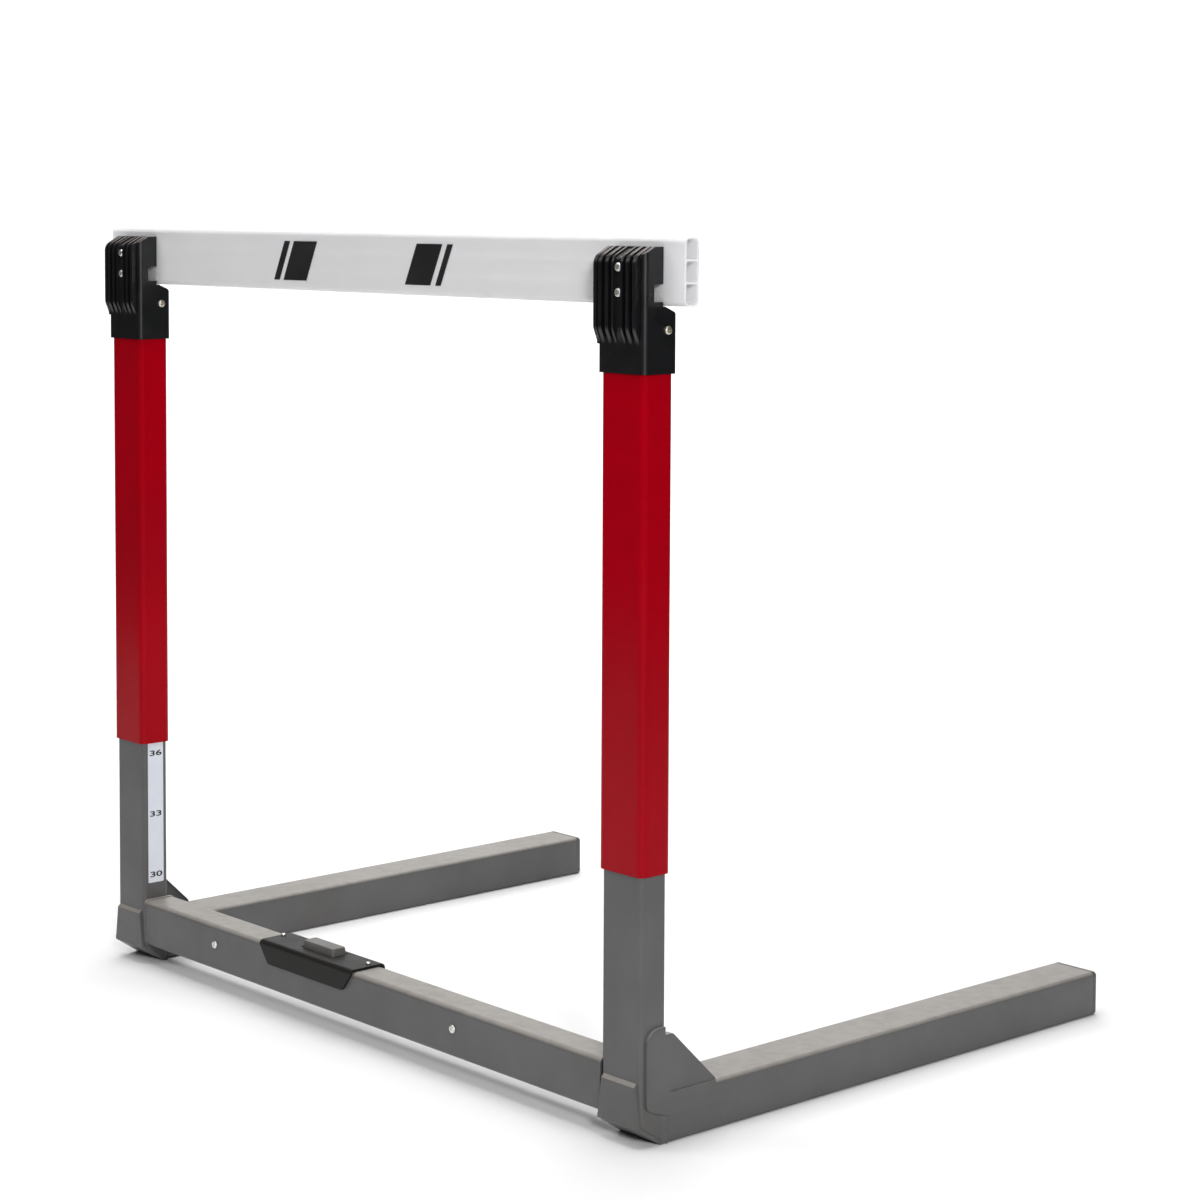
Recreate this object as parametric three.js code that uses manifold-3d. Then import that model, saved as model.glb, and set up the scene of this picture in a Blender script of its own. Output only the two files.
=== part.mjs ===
// A track hurdle: its gate slides on two posts and is let go by a foot pedal in the crossbar.
// Millimetres. +X runs along the gate's board, +Y towards the far ends of the legs, +Z up.
// The origin is on the ground, under the middle of the hurdle's outline.
import * as THREE from 'three';
import { mergeVertices } from 'three/addons/utils/BufferGeometryUtils.js';
import Module from 'manifold-3d';

const wasm = await Module();
wasm.setup();

// Driving sizes

// Height settings of the board's top edge: 30, 33, 36, 39 and 42 inches, drawn at 36
const lowestSetting = 762;
const settingPitch = 76.2;
const settingCount = 5;
const settingDrawn = 2;

// Gap between two pieces that touch, and how far a cutting shape runs past what it cuts
const gap = 0.3;
const overrun = 2;
const weldTolerance = 0.0001;

// Board: a white extrusion with three chambers
const boardOverhang = 65.5;
const boardHeight = 69;
const boardDepth = 19;
const boardWall = 2.2;
const boardChambers = 3;
const boardCornerRadius = 6;
const boardChamberRadius = 1.5;

// Posts
const postSpacing = 910;
const postWidth = 59;
const postDepth = 35;
const postWall = 1.6;
const postCornerRadius = 5;
const postHeight = 640;

// Sleeves that run on the posts
const sleeveClearance = 1.3;
const sleeveWall = 1.7;
const sleeveLength = 557;

// Caps that join the sleeves to the board
const capWall = 2;
const capCornerRadius = 6;
const capSkirt = 66.8;
const capCeiling = 11.1;
const capTopDrop = 10.4;
const capTopFlat = 11;
const capTopFall = 7.6;
const capLedgeFlat = 2.9;
const capLedgeRun = 13;
const capLedgeFall = 5.6;
const capBackFall = 9;
const capSlotDepth = 9.3;
const capSlotHeight = 18;
const boardSetback = 20.2;

// Fins on the front of a cap, beside the channel of its screws: each fin from its left to its right
const channelHalf = 5.2;
const channelRise = 2.4;
const channelTopRadius = 1.5;
const finPlaces = [
  [-34.5, -29.8],
  [-27.8, -22.7],
  [-17.5, -12.7],
  [-8, -channelHalf],
  [channelHalf, 8],
  [12.7, 17.5],
  [22.7, 27.8],
];
const finReach = 5.5;
const finFoot = 22;
const finCurve = 23;
const finTopRadius = 7;
const finTopGroove = 2.4;

// Screws of the caps
const lowerScrewRise = 13.1;
const upperScrewRise = 38.3;
const boardScrewBite = 9;
const capScrewRise = 43.4;
const capScrewSetback = 26.2;
const capScrewBite = 10;
const screwRadius = 2;
const screwHeadRadius = 4.5;
const screwHeadHeight = 2.6;

// Crossbar
const crossbarDepth = 42.8;
const crossbarHeight = 55.4;
const crossbarLift = 24.7;
const crossbarWall = 1.6;
const crossbarCornerRadius = 6;

// Legs
const legWidth = 60;
const legHeight = 51.5;
const legWall = 2;
const legCornerRadius = 5;
const legOutset = 2.5;
const legReach = 718;
const legCapLip = 8;
const legCapBevel = 4;
const legCapPlug = 14;
const legCapWall = 1.6;

// Toe plates under the fronts of the posts
const toeThickness = 4;
const toeHeight = 67;
const toeBendHeight = 21;
const toeRun = 31.6;
const toeTopWidth = 49;
const toeBottomWidth = 60;

// Corner plates on the outer faces of the posts and legs
const cornerProud = 2.2;
const cornerWebInset = 1.7;
const cornerWebDepth = 11.5;
const cornerWebTop = 113;
const cornerWebFlat = 9;
const cornerWebEnd = 5;
const cornerFront = 6;
const cornerTop = 121;
const cornerLowFront = 40;
const cornerLowBack = 28.5;
const cornerBack = 102;
const cornerTopRadius = 18;
const cornerFootRadius = 16;
const cornerEdgeRadius = 4;
const cornerCrease = 1.3;

// Height scale on the inner face of the left post
const scaleWidth = 22;
const scaleThickness = 0.3;
const scaleGap = 0.1;
const scaleBottom = 101;
const scaleLength = 327;

// Foot pedal
const pedalPlace = -83;
const pedalSetback = 26;
const pedalTravel = 5;
const pedalLength = 60;
const pedalDepth = 21;
const pedalProud = 5.6;
const pedalTaper = 1.4;
const pedalCornerRadius = 3.5;
const pedalClearance = 0.9;
const pedalFlange = 2.6;
const pedalFlangeHeight = 4;
const pedalFootLength = 16;
const pedalFootMargin = 8;

// Spring under the pedal
const springRadius = 5.2;
const springWireRadius = 0.8;
const springTurns = 5;

// Cover over the pedal, a folded sheet on the crossbar
const coverLength = 178;
const coverThickness = 3;
const coverFrontFlange = 26.5;
const coverBackFlange = 10.5;
const coverTaper = 16.5;
const coverBendRadius = 2.5;
const coverLeftRivetInset = 4.5;
const coverRightRivetInset = 8.5;
const coverRivetSetback = 28;
const coverRivetRadius = 1.6;
const coverRivetHeadRadius = 2.8;
const coverRivetHeadHeight = 2.2;

// Levers in the crossbar that carry the pedal's push to the posts
const leverRise = 31.8;
const leverThickness = 6;
const leverHeight = 11;
const leverSetback = 14;
const leverEndGap = 3;
const leverSlotMargin = 3;
const leverPinRadius = 3;
const leverPinHeadRadius = 4.6;
const leverPinHeadHeight = 2.4;

// Lock in each post: a rod lifts a cam off the flat bar that hangs from the gate
const rodPlace = 3;
const rodWidth = 6;
const rodDepth = 8;
const rodTipWidth = 3;
const rodTipHeight = 3;
const guideDrop = 44;
const guideHeight = 8;
const guideRim = 1.6;
const camPinPlace = -13;
const camPinRadius = 2.5;
const camHeight = 390;
const camThickness = 9;
const camHubRadius = 7;
const camArmDrop = 4;
const camArmLength = 19;
const camNoseRise = 6;
const camNoseHeight = 13;
const camNoseRelief = 1.6;
const barPlace = 12;
const barThickness = 4;
const barWidth = 14;
const barHeadWidth = 25;
const barHeadHeight = 14;
const barHeadClearance = 0.4;
const barFootHeight = 10;
const barFootDepth = 4;
const barStopClearance = 1.5;

// Cable loop in each side, from the bar's foot round four sheaves to the counterweight
const cablePlace = -21;
const cableRadius = 1;
const cableFrontRun = 7;
const cableLowRun = 20;
const sheavePitchRadius = 7;
const sheaveFlangeRadius = 8.2;
const sheaveWidth = 4;
const sheaveAxleRadius = 2.5;
const sheaveAxleProud = 1;
const topSheaveDrop = 22;
const endSheaveInset = 22;
const cheekLength = 34;
const cheekHeight = 24;
const cheekGap = 0.4;

// Counterweights in the legs
const weightPlace = 463;
const weightLength = 132;
const weightHeight = 44;
const weightWidth = 47.4;
const weightLedge = 5.5;
const weightRunnerInset = 5;

// Glides on the tops of the posts
const glideThickness = 5;
const glideSkirt = 7;
const glideWall = 2;

// Steps of the round faces
const cornerSteps = 4;
const roundSteps = 12;
const domeSteps = 3;
const sheaveSteps = 14;
const cableSides = 6;
const cableHalfTurnSteps = 6;
const springSides = 5;
const springTurnSteps = 8;

// Sizes that follow

const boardLength = postSpacing + 2 * boardOverhang;
const boardTop = lowestSetting + settingDrawn * settingPitch;
const liftToTop = (settingCount - 1 - settingDrawn) * settingPitch;
const postFace = postWidth / 2;
const postMiddle = postDepth / 2;
const sleeveWidth = postWidth + 2 * (sleeveClearance + sleeveWall);
const sleeveDepth = postDepth + 2 * (sleeveClearance + sleeveWall);
const capWidth = sleeveWidth + 2 * (gap + capWall);
const capDepth = sleeveDepth + 2 * (gap + capWall);
const capFront = postMiddle - capDepth / 2;
const capBack = postMiddle + capDepth / 2;
const capPlateBack = boardSetback - gap;
const finFront = capFront - finReach;

// Heights on the gate, counted from the board's top edge
const boardBottom = -boardHeight;
const capLedgeTop = boardBottom - gap;
const capBottom = capLedgeTop - capSkirt;
const capInsideTop = capLedgeTop - capCeiling;
const sleeveTop = capInsideTop - gap;
const slotBottom = boardBottom + lowerScrewRise - capSlotHeight / 2;
const boardScrewRises = [lowerScrewRise, upperScrewRise];

// Heights and places on the frame
const crossbarTop = crossbarLift + crossbarHeight;
const crossbarReach = postSpacing / 2 - postFace - gap;
const coverTop = crossbarTop + gap + coverThickness;
const leverLevel = crossbarLift + leverRise;
const leverTop = leverLevel + leverHeight / 2;
const legFront = postDepth + gap;
const legBack = legReach + legCapLip;
const legOuterFace = legOutset + legWidth / 2;
const cornerFace = legOuterFace + cornerProud;
const toeSlope = Math.atan2(toeBendHeight, toeRun);
const barFace = barPlace - barThickness / 2;
const rodTop = camHeight - camArmDrop - gap;
const cableBackRun = cableFrontRun + 2 * sheavePitchRadius;
const cableHighRun = cableLowRun + 2 * sheavePitchRadius;
const cableBackFace = cableBackRun + cableRadius + gap;
const coverRivetPlaces = [
  pedalPlace - coverLength / 2 + coverLeftRivetInset,
  pedalPlace + coverLength / 2 - coverRightRivetInset,
];

// Finishes

function finish(color, roughness, metalness) {
  return new THREE.MeshStandardMaterial({ color, roughness, metalness });
}

const greyPaint = finish(0x5c5d60, 0.55, 0.2);
const redPaint = finish(0xa8001a, 0.3, 0.1);
const blackPlastic = finish(0x16171a, 0.45, 0);
const footPlastic = finish(0x4f4d4b, 0.6, 0);
const whitePlastic = finish(0xe8e8ea, 0.4, 0);
const greyPlastic = finish(0x7e7c79, 0.6, 0);
const blackPaint = finish(0x1d1c1c, 0.45, 0.2);
const brightSteel = finish(0xc9c6bd, 0.25, 1);
const darkSteel = finish(0x4a4b4d, 0.5, 0.8);
const whiteLabel = finish(0xdfe3ea, 0.5, 0);
const nylon = finish(0xd8d4c8, 0.6, 0);

// Shapes

const axisX = new THREE.Vector3(1, 0, 0);
const axisY = new THREE.Vector3(0, 1, 0);
const axisZ = new THREE.Vector3(0, 0, 1);

function point(x, y, z) {
  return new THREE.Vector3(x, y, z);
}

// An outline through corners [a, b, radius], with an arc at each corner that has a radius
function outlineOf(corners) {
  const points = [];
  corners.forEach(([a, b, radius = 0], i) => {
    const corner = new THREE.Vector2(a, b);
    if (radius === 0) {
      points.push(corner);
      return;
    }
    const [backA, backB] = corners.at(i - 1);
    const [aheadA, aheadB] = corners[(i + 1) % corners.length];
    const back = new THREE.Vector2(backA, backB).sub(corner).normalize();
    const ahead = new THREE.Vector2(aheadA, aheadB).sub(corner).normalize();
    const half = Math.acos(back.dot(ahead)) / 2;
    const inwards = back.clone().add(ahead).normalize();
    const centre = inwards.multiplyScalar(radius / Math.sin(half)).add(corner);
    const start = back.multiplyScalar(radius / Math.tan(half)).add(corner).sub(centre).angle();
    const end = ahead.multiplyScalar(radius / Math.tan(half)).add(corner).sub(centre).angle();
    const turn = Math.atan2(Math.sin(end - start), Math.cos(end - start));
    for (let k = 0; k <= cornerSteps; k += 1) {
      const angle = start + (turn * k) / cornerSteps;
      const out = new THREE.Vector2(Math.cos(angle), Math.sin(angle));
      points.push(out.multiplyScalar(radius).add(centre));
    }
  });
  return points;
}

// A rectangle between two values of each coordinate, with round corners
function roundedBox(a0, a1, b0, b1, radius) {
  return outlineOf([[a0, b0, radius], [a1, b0, radius], [a1, b1, radius], [a0, b1, radius]]);
}

// A closed geometry as a solid that can be joined and cut
function solidOf(geometry) {
  geometry.deleteAttribute('normal');
  geometry.deleteAttribute('uv');
  const merged = mergeVertices(geometry, weldTolerance);
  const index = merged.index.array;
  const kept = [];
  for (let i = 0; i < index.length; i += 3) {
    const [a, b, c] = index.subarray(i, i + 3);
    if (a !== b && b !== c && c !== a) kept.push(a, b, c);
  }
  const vertProperties = merged.attributes.position.array;
  return new wasm.Manifold(new wasm.Mesh({ numProp: 3, vertProperties, triVerts: new Uint32Array(kept) }));
}

function geometryOf(solid) {
  const { numProp, vertProperties, triVerts } = solid.getMesh();
  const geometry = new THREE.BufferGeometry();
  geometry.setAttribute('position', new THREE.BufferAttribute(new Float32Array(vertProperties), numProp));
  geometry.setIndex(new THREE.BufferAttribute(new Uint32Array(triVerts), 1));
  geometry.computeVertexNormals();
  return geometry;
}

function extruded(outline, holes, options) {
  const shape = new THREE.Shape(outline);
  shape.holes = holes.map((hole) => new THREE.Path(hole));
  return new THREE.ExtrudeGeometry(shape, options);
}

// An outline in (x, y) carried from z0 up to z1
function prismZ(outline, z0, z1, holes = []) {
  const geometry = extruded(outline, holes, { depth: z1 - z0, bevelEnabled: false });
  return solidOf(geometry.translate(0, 0, z0));
}

// An outline in (y, z) carried between two values of x
function prismX(outline, xa, xb, holes = []) {
  const turn = new THREE.Matrix4().makeBasis(axisY, axisZ, axisX);
  const geometry = extruded(outline, holes, { depth: Math.abs(xb - xa), bevelEnabled: false });
  return solidOf(geometry.applyMatrix4(turn).translate(Math.min(xa, xb), 0, 0));
}

// An outline in (x, z) carried from y0 to y1
function prismY(outline, y0, y1, holes = []) {
  const turn = new THREE.Matrix4().makeBasis(axisX, axisZ, axisY.clone().negate());
  const geometry = extruded(outline, holes, { depth: y1 - y0, bevelEnabled: false });
  return solidOf(geometry.applyMatrix4(turn).translate(0, y1, 0));
}

function block(xa, xb, y0, y1, z0, z1) {
  const box = new THREE.BoxGeometry(Math.abs(xb - xa), y1 - y0, z1 - z0);
  return solidOf(box.translate((xa + xb) / 2, (y0 + y1) / 2, (z0 + z1) / 2));
}

// A round bar along X, Y or Z between two places on that axis
function roundBar(axis, radius, from, to, centre) {
  const bar = new THREE.CylinderGeometry(radius, radius, Math.abs(to - from), roundSteps);
  bar.applyQuaternion(new THREE.Quaternion().setFromUnitVectors(axisY, axis));
  const middle = axis.clone().multiplyScalar((from + to) / 2).add(centre);
  return solidOf(bar.translate(middle.x, middle.y, middle.z));
}

// A turned piece whose profile [radius, height] rises along an axis from a centre
function turned(profile, axis, centre, steps) {
  const points = profile.map(([radius, height]) => new THREE.Vector2(radius, height));
  const lathe = new THREE.LatheGeometry(points, steps);
  lathe.applyQuaternion(new THREE.Quaternion().setFromUnitVectors(axisY, axis));
  return solidOf(lathe.translate(centre.x, centre.y, centre.z));
}

// A screw or rivet: a domed head that stands out from its seat and a shank that goes in
function domed(shankRadius, shankLength, headRadius, headHeight, out, seat) {
  const shoulder = headHeight / 3;
  const profile = [
    [0, -shankLength],
    [shankRadius, -shankLength],
    [shankRadius, 0],
    [headRadius, 0],
  ];
  for (let k = 0; k < domeSteps; k += 1) {
    const angle = (Math.PI / 2) * (k / domeSteps);
    profile.push([headRadius * Math.cos(angle), shoulder + (headHeight - shoulder) * Math.sin(angle)]);
  }
  profile.push([0, headHeight]);
  return turned(profile, out, seat, roundSteps);
}

// A round wire along a path whose points carry two sideways directions, as a ring or with flat ends
function wire(path, radius, sideCount, isRing) {
  const positions = [];
  for (const { at, up, across } of path) {
    for (let k = 0; k < sideCount; k += 1) {
      const angle = (2 * Math.PI * k) / sideCount;
      const rim = at.clone().addScaledVector(up, radius * Math.cos(angle));
      rim.addScaledVector(across, radius * Math.sin(angle));
      positions.push(rim.x, rim.y, rim.z);
    }
  }
  const index = [];
  const spans = isRing ? path.length : path.length - 1;
  for (let i = 0; i < spans; i += 1) {
    const [near, far] = [i * sideCount, ((i + 1) % path.length) * sideCount];
    for (let k = 0; k < sideCount; k += 1) {
      const beside = (k + 1) % sideCount;
      index.push(near + k, near + beside, far + k, far + k, near + beside, far + beside);
    }
  }
  const last = spans * sideCount;
  for (let k = 1; !isRing && k < sideCount - 1; k += 1) {
    index.push(0, k + 1, k, last, last + k, last + k + 1);
  }
  const geometry = new THREE.BufferGeometry();
  geometry.setAttribute('position', new THREE.Float32BufferAttribute(positions, 3));
  geometry.setIndex(index);
  geometry.computeVertexNormals();
  return geometry;
}

// Centres of a side's sheaves, in the plane of its cable
const topSheave = point(0, cableFrontRun + sheavePitchRadius, postHeight - topSheaveDrop);
const outerSheave = point(0, cableFrontRun + sheavePitchRadius, cableLowRun + sheavePitchRadius);
const innerSheave = point(0, cableBackRun + sheavePitchRadius, cableHighRun + sheavePitchRadius);
const endSheave = point(0, legReach - endSheaveInset, cableLowRun + sheavePitchRadius);

// Height of the toe plate's slope at a depth y, a distance in from its outer face
function toeLine(y, inside) {
  const outerFace = toeBendHeight - (y + toeThickness) * Math.tan(toeSlope);
  return outerFace + inside / Math.cos(toeSlope);
}

// Frame pieces of one side; x runs from the post's middle

// A post's section, drawn in from its outside by an inset
function postSection(inset) {
  const [x, y] = [postFace - inset, postMiddle - inset];
  return roundedBox(-x, x, postMiddle - y, postMiddle + y, postCornerRadius - inset);
}

function post({ sign }) {
  let tube = prismZ(postSection(0), 0, postHeight, [postSection(postWall)]);
  const [front, back] = [-toeThickness, legFront + overrun];
  const toeRoom = outlineOf([
    [front, -overrun],
    [back, -overrun],
    [back, toeLine(back, toeThickness + gap)],
    [front, toeLine(front, toeThickness + gap)],
  ]);
  tube = tube.subtract(prismX(toeRoom, -postWidth, postWidth));
  const innerWall = [-sign * (postFace + overrun), -sign * (postFace - postWall - overrun)];
  for (const centre of [topSheave, outerSheave, innerSheave]) {
    tube = tube.subtract(roundBar(axisX, sheaveAxleRadius + gap, ...innerWall, centre));
  }
  const camPinCentre = point(sign * camPinPlace, 0, camHeight);
  tube = tube.subtract(roundBar(axisY, camPinRadius + gap, -overrun, postDepth + overrun, camPinCentre));
  const cableWindow = block(
    sign * cablePlace - sheaveWidth,
    sign * cablePlace + sheaveWidth,
    postDepth - postWall - overrun,
    postDepth + overrun,
    cableLowRun - sheavePitchRadius,
    innerSheave.z + sheaveFlangeRadius,
  );
  const leverSlot = block(
    ...innerWall,
    leverSetback - leverThickness / 2 - leverSlotMargin / 2,
    leverSetback + leverThickness / 2 + leverSlotMargin / 2,
    leverLevel - leverHeight / 2 - leverSlotMargin,
    leverTop + pedalTravel + leverSlotMargin,
  );
  return tube.subtract(cableWindow).subtract(leverSlot);
}

// A leg's section, drawn in from its outside by an inset
function legSection({ sign }, inset) {
  const [x0, x1] = [sign * legOutset - legWidth / 2, sign * legOutset + legWidth / 2];
  const radius = Math.max(legCornerRadius - inset, gap);
  return roundedBox(x0 + inset, x1 - inset, inset, legHeight - inset, radius);
}

function leg(side) {
  return prismY(legSection(side, 0), legFront, legReach, [legSection(side, legWall)]);
}

// The plug in a leg's far end, with a rounded lip and two cheeks that carry the end sheave
function legCap(side) {
  const lipFront = legReach + gap;
  const bevelled = extruded(legSection(side, 0), [], {
    depth: legCapLip,
    bevelThickness: legCapBevel,
    bevelSize: legCapBevel,
    bevelOffset: -legCapBevel,
    bevelSegments: domeSteps,
  });
  const turn = new THREE.Matrix4().makeBasis(axisX, axisZ, axisY.clone().negate());
  const lip = solidOf(bevelled.applyMatrix4(turn).translate(0, legBack - legCapBevel, 0));
  const legRoom = block(-legWidth, legWidth, legReach - legCapLip, lipFront, -overrun, legHeight + overrun);
  const plugInset = legWall + gap;
  const plugHollow = [legSection(side, plugInset + legCapWall)];
  const plug = prismY(legSection(side, plugInset), legReach - legCapPlug, lipFront + legCapWall, plugHollow);
  let cap = lip.subtract(legRoom).add(plug);
  const middle = side.sign * cablePlace;
  const cheekReach = sheaveWidth / 2 + cheekGap + legCapWall;
  for (const face of [-1, 1]) {
    const far = middle + face * cheekReach;
    const [low, high] = [endSheave.z - cheekHeight / 2, endSheave.z + cheekHeight / 2];
    const [front, back] = [lipFront - cheekLength, lipFront + legCapWall];
    const cheek = block(far - face * legCapWall, far, front, back, low, high);
    cap = cap.add(cheek);
  }
  const axleRoom = [middle - cheekReach - overrun, middle + cheekReach + overrun];
  return cap.subtract(roundBar(axisX, sheaveAxleRadius + gap, ...axleRoom, endSheave));
}

// The bent plate under the front of a post; the hurdle tips over on its lower edge
function toePlate() {
  const back = -gap;
  const bevel = toeThickness - gap;
  const profile = outlineOf([
    [-toeThickness, toeBendHeight],
    [-toeThickness, toeHeight - bevel],
    [back, toeHeight],
    [back, toeLine(back, toeThickness)],
    [toeRun - toeThickness + toeThickness / Math.sin(toeSlope), 0],
    [toeRun - toeThickness, 0],
  ]);
  const [wide, narrow] = [toeBottomWidth / 2, toeTopWidth / 2];
  const front = outlineOf([
    [-wide, -overrun],
    [wide, -overrun],
    [wide, toeBendHeight],
    [narrow, toeHeight],
    [narrow, toeHeight + overrun],
    [-narrow, toeHeight + overrun],
    [-narrow, toeHeight],
    [-wide, toeBendHeight],
  ]);
  const plate = prismX(profile, -toeBottomWidth, toeBottomWidth);
  return plate.intersect(prismY(front, -toeThickness - overrun, legFront + overrun));
}

// The plate that ties a post to its leg: a flange over both and a web in the corner between them
function cornerPlate({ sign }) {
  const webCorners = [
    [cornerBack, legHeight + cornerWebEnd, cornerEdgeRadius],
    [legFront + cornerWebFlat, cornerWebTop, cornerEdgeRadius],
    [legFront, cornerWebTop],
  ];
  const flangeOutline = outlineOf([
    [cornerFront, cornerLowFront, cornerEdgeRadius],
    [legFront, cornerLowBack],
    [cornerBack, cornerLowBack, cornerFootRadius],
    ...webCorners,
    [postDepth - postCornerRadius, cornerTop, cornerEdgeRadius],
    [cornerFront, cornerTop, cornerTopRadius],
  ]);
  const flange = prismX(flangeOutline, sign * (postFace + gap), sign * cornerFace);
  const legRoom = block(0, sign * (legOuterFace + gap), postDepth, legReach, -overrun, legHeight + gap);
  const webFace = sign * (cornerFace - cornerWebInset);
  const webRoom = block(
    webFace,
    sign * (cornerFace + overrun),
    legFront + cornerCrease,
    legReach,
    legHeight + cornerCrease,
    cornerTop,
  );
  const webOutline = outlineOf([[legFront, legHeight + gap], [cornerBack, legHeight + gap], ...webCorners]);
  const web = prismX(webOutline, webFace, webFace - sign * cornerWebDepth);
  return flange.subtract(legRoom).subtract(webRoom).add(web);
}

function heightScale({ sign }) {
  const near = -sign * (postFace + scaleGap);
  const [y0, y1] = [postMiddle - scaleWidth / 2, postMiddle + scaleWidth / 2];
  return block(near, near - sign * scaleThickness, y0, y1, scaleBottom, scaleBottom + scaleLength);
}

// The glide on top of a post, which keeps its sleeve central and has a slot for the bar
function postGlide({ sign }) {
  const low = postHeight + gap;
  const plate = prismZ(postSection(gap - sleeveClearance), low, low + glideThickness);
  const skirtInset = postWall + gap;
  const skirtHollow = [postSection(skirtInset + glideWall)];
  const skirtTop = low + glideThickness / 2;
  const skirt = prismZ(postSection(skirtInset), postHeight - glideSkirt, skirtTop, skirtHollow);
  const slot = block(
    sign * (barFace - 2 * gap),
    sign * (barFace + barThickness + 2 * gap),
    topSheave.y - barWidth / 2 - 2 * gap,
    topSheave.y + barWidth / 2 + 2 * gap,
    postHeight,
    low + glideThickness + overrun,
  );
  return plate.add(skirt).subtract(slot);
}

// The cable loop: up the front run, over the top sheave, down the back run and round the leg
function cable({ sign }) {
  const half = Math.PI;
  const bends = [
    { centre: topSheave, from: half, turn: -half },
    { centre: innerSheave, from: half, turn: half / 2 },
    { centre: endSheave, from: half / 2, turn: -half },
    { centre: outerSheave, from: -half / 2, turn: -half / 2 },
  ];
  const path = [];
  for (const { centre, from, turn } of bends) {
    const steps = Math.round((cableHalfTurnSteps * Math.abs(turn)) / half);
    for (let k = 0; k <= steps; k += 1) {
      const angle = from + (turn * k) / steps;
      const out = point(0, Math.cos(angle), Math.sin(angle));
      const at = centre.clone().addScaledVector(out, sheavePitchRadius).setX(sign * cablePlace);
      path.push({ at, up: out.multiplyScalar(-Math.sign(turn)), across: axisX });
    }
  }
  return wire(path, cableRadius, cableSides, true);
}

// A grooved sheave with the stub axle it turns on, between two values of x
function sheave(centre, { sign }, xa, xb) {
  const middle = sign * cablePlace;
  const [low, high] = [Math.min(xa, xb) - middle, Math.max(xa, xb) - middle];
  const land = cableRadius + gap;
  const groove = sheavePitchRadius - land;
  const half = sheaveWidth / 2;
  const profile = [
    [0, low],
    [sheaveAxleRadius, low],
    [sheaveAxleRadius, -half],
    [sheaveFlangeRadius, -half],
    [sheaveFlangeRadius, -land],
    [groove, -land],
    [groove, land],
    [sheaveFlangeRadius, land],
    [sheaveFlangeRadius, half],
    [sheaveAxleRadius, half],
    [sheaveAxleRadius, high],
    [0, high],
  ];
  return turned(profile, axisX, centre.clone().setX(middle), sheaveSteps);
}

// A sheave whose axle runs in a hole in the post's inner wall
function postSheave(centre, side) {
  const inside = side.sign * (cablePlace + sheaveWidth / 2 + sheaveAxleProud);
  return sheave(centre, side, -side.sign * (postFace - gap), inside);
}

// The sheave between the cheeks of the leg's cap
function legSheave(side) {
  const reach = sheaveWidth / 2 + cheekGap + legCapWall - gap;
  const middle = side.sign * cablePlace;
  return sheave(endSheave, side, middle - reach, middle + reach);
}

// The guide that keeps a lift rod upright under its cam
function rodGuide({ sign }) {
  const top = camHeight - guideDrop;
  const [x0, x1] = [sign * rodPlace - rodWidth / 2 - gap, sign * rodPlace + rodWidth / 2 + gap];
  const [y0, y1] = [leverSetback - rodDepth / 2, leverSetback + rodDepth / 2];
  const wall = -sign * (postFace - postWall - gap);
  const tip = sign * (barFace - 2 * gap);
  const guide = block(wall, tip, y0 - guideRim, y1 + guideRim, top - guideHeight, top);
  return guide.subtract(block(x0, x1, y0 - gap, y1 + gap, top - guideHeight - overrun, top + overrun));
}

function camPin({ sign }) {
  return roundBar(axisY, camPinRadius, gap, postDepth - gap, point(sign * camPinPlace, 0, camHeight));
}

// Moving pieces in one side of the frame

// The lock cam: the gate's weight pulls its nose into the bar, and the rod swings it away
function lockCam({ sign }) {
  const reach = barFace - gap;
  const bite = camHeight + camNoseRise;
  const outline = outlineOf([
    [sign * camPinPlace, camHeight - camHubRadius, camHubRadius / 2],
    [sign * (camPinPlace + camHubRadius), camHeight - camArmDrop],
    [sign * (camPinPlace + camArmLength), camHeight - camArmDrop],
    [sign * (reach - camNoseRelief), bite - camNoseHeight / 2],
    [sign * reach, bite],
    [sign * (reach - camNoseRelief), bite + camNoseHeight / 2],
    [sign * (camPinPlace + camHubRadius), camHeight + camHubRadius],
    [sign * (camPinPlace - camHubRadius), camHeight + camHubRadius, camHubRadius / 2],
    [sign * (camPinPlace - camHubRadius), camHeight - camHubRadius, camHubRadius / 2],
  ]);
  const [y0, y1] = [leverSetback - camThickness / 2, leverSetback + camThickness / 2];
  const pinCentre = point(sign * camPinPlace, 0, camHeight);
  const bore = roundBar(axisY, camPinRadius + gap, y0 - overrun, y1 + overrun, pinCentre);
  return prismY(outline, y0, y1).subtract(bore);
}

function liftRod({ sign }) {
  const [y0, y1] = [leverSetback - rodDepth / 2, leverSetback + rodDepth / 2];
  const outline = outlineOf([
    [sign * rodPlace - rodWidth / 2, leverTop + gap],
    [sign * rodPlace + rodWidth / 2, leverTop + gap],
    [sign * rodPlace + rodWidth / 2, rodTop - rodTipHeight],
    [sign * rodPlace + rodTipWidth / 2, rodTop],
    [sign * rodPlace - rodTipWidth / 2, rodTop],
    [sign * rodPlace - rodWidth / 2, rodTop - rodTipHeight],
  ]);
  return prismY(outline, y0, y1);
}

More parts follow.
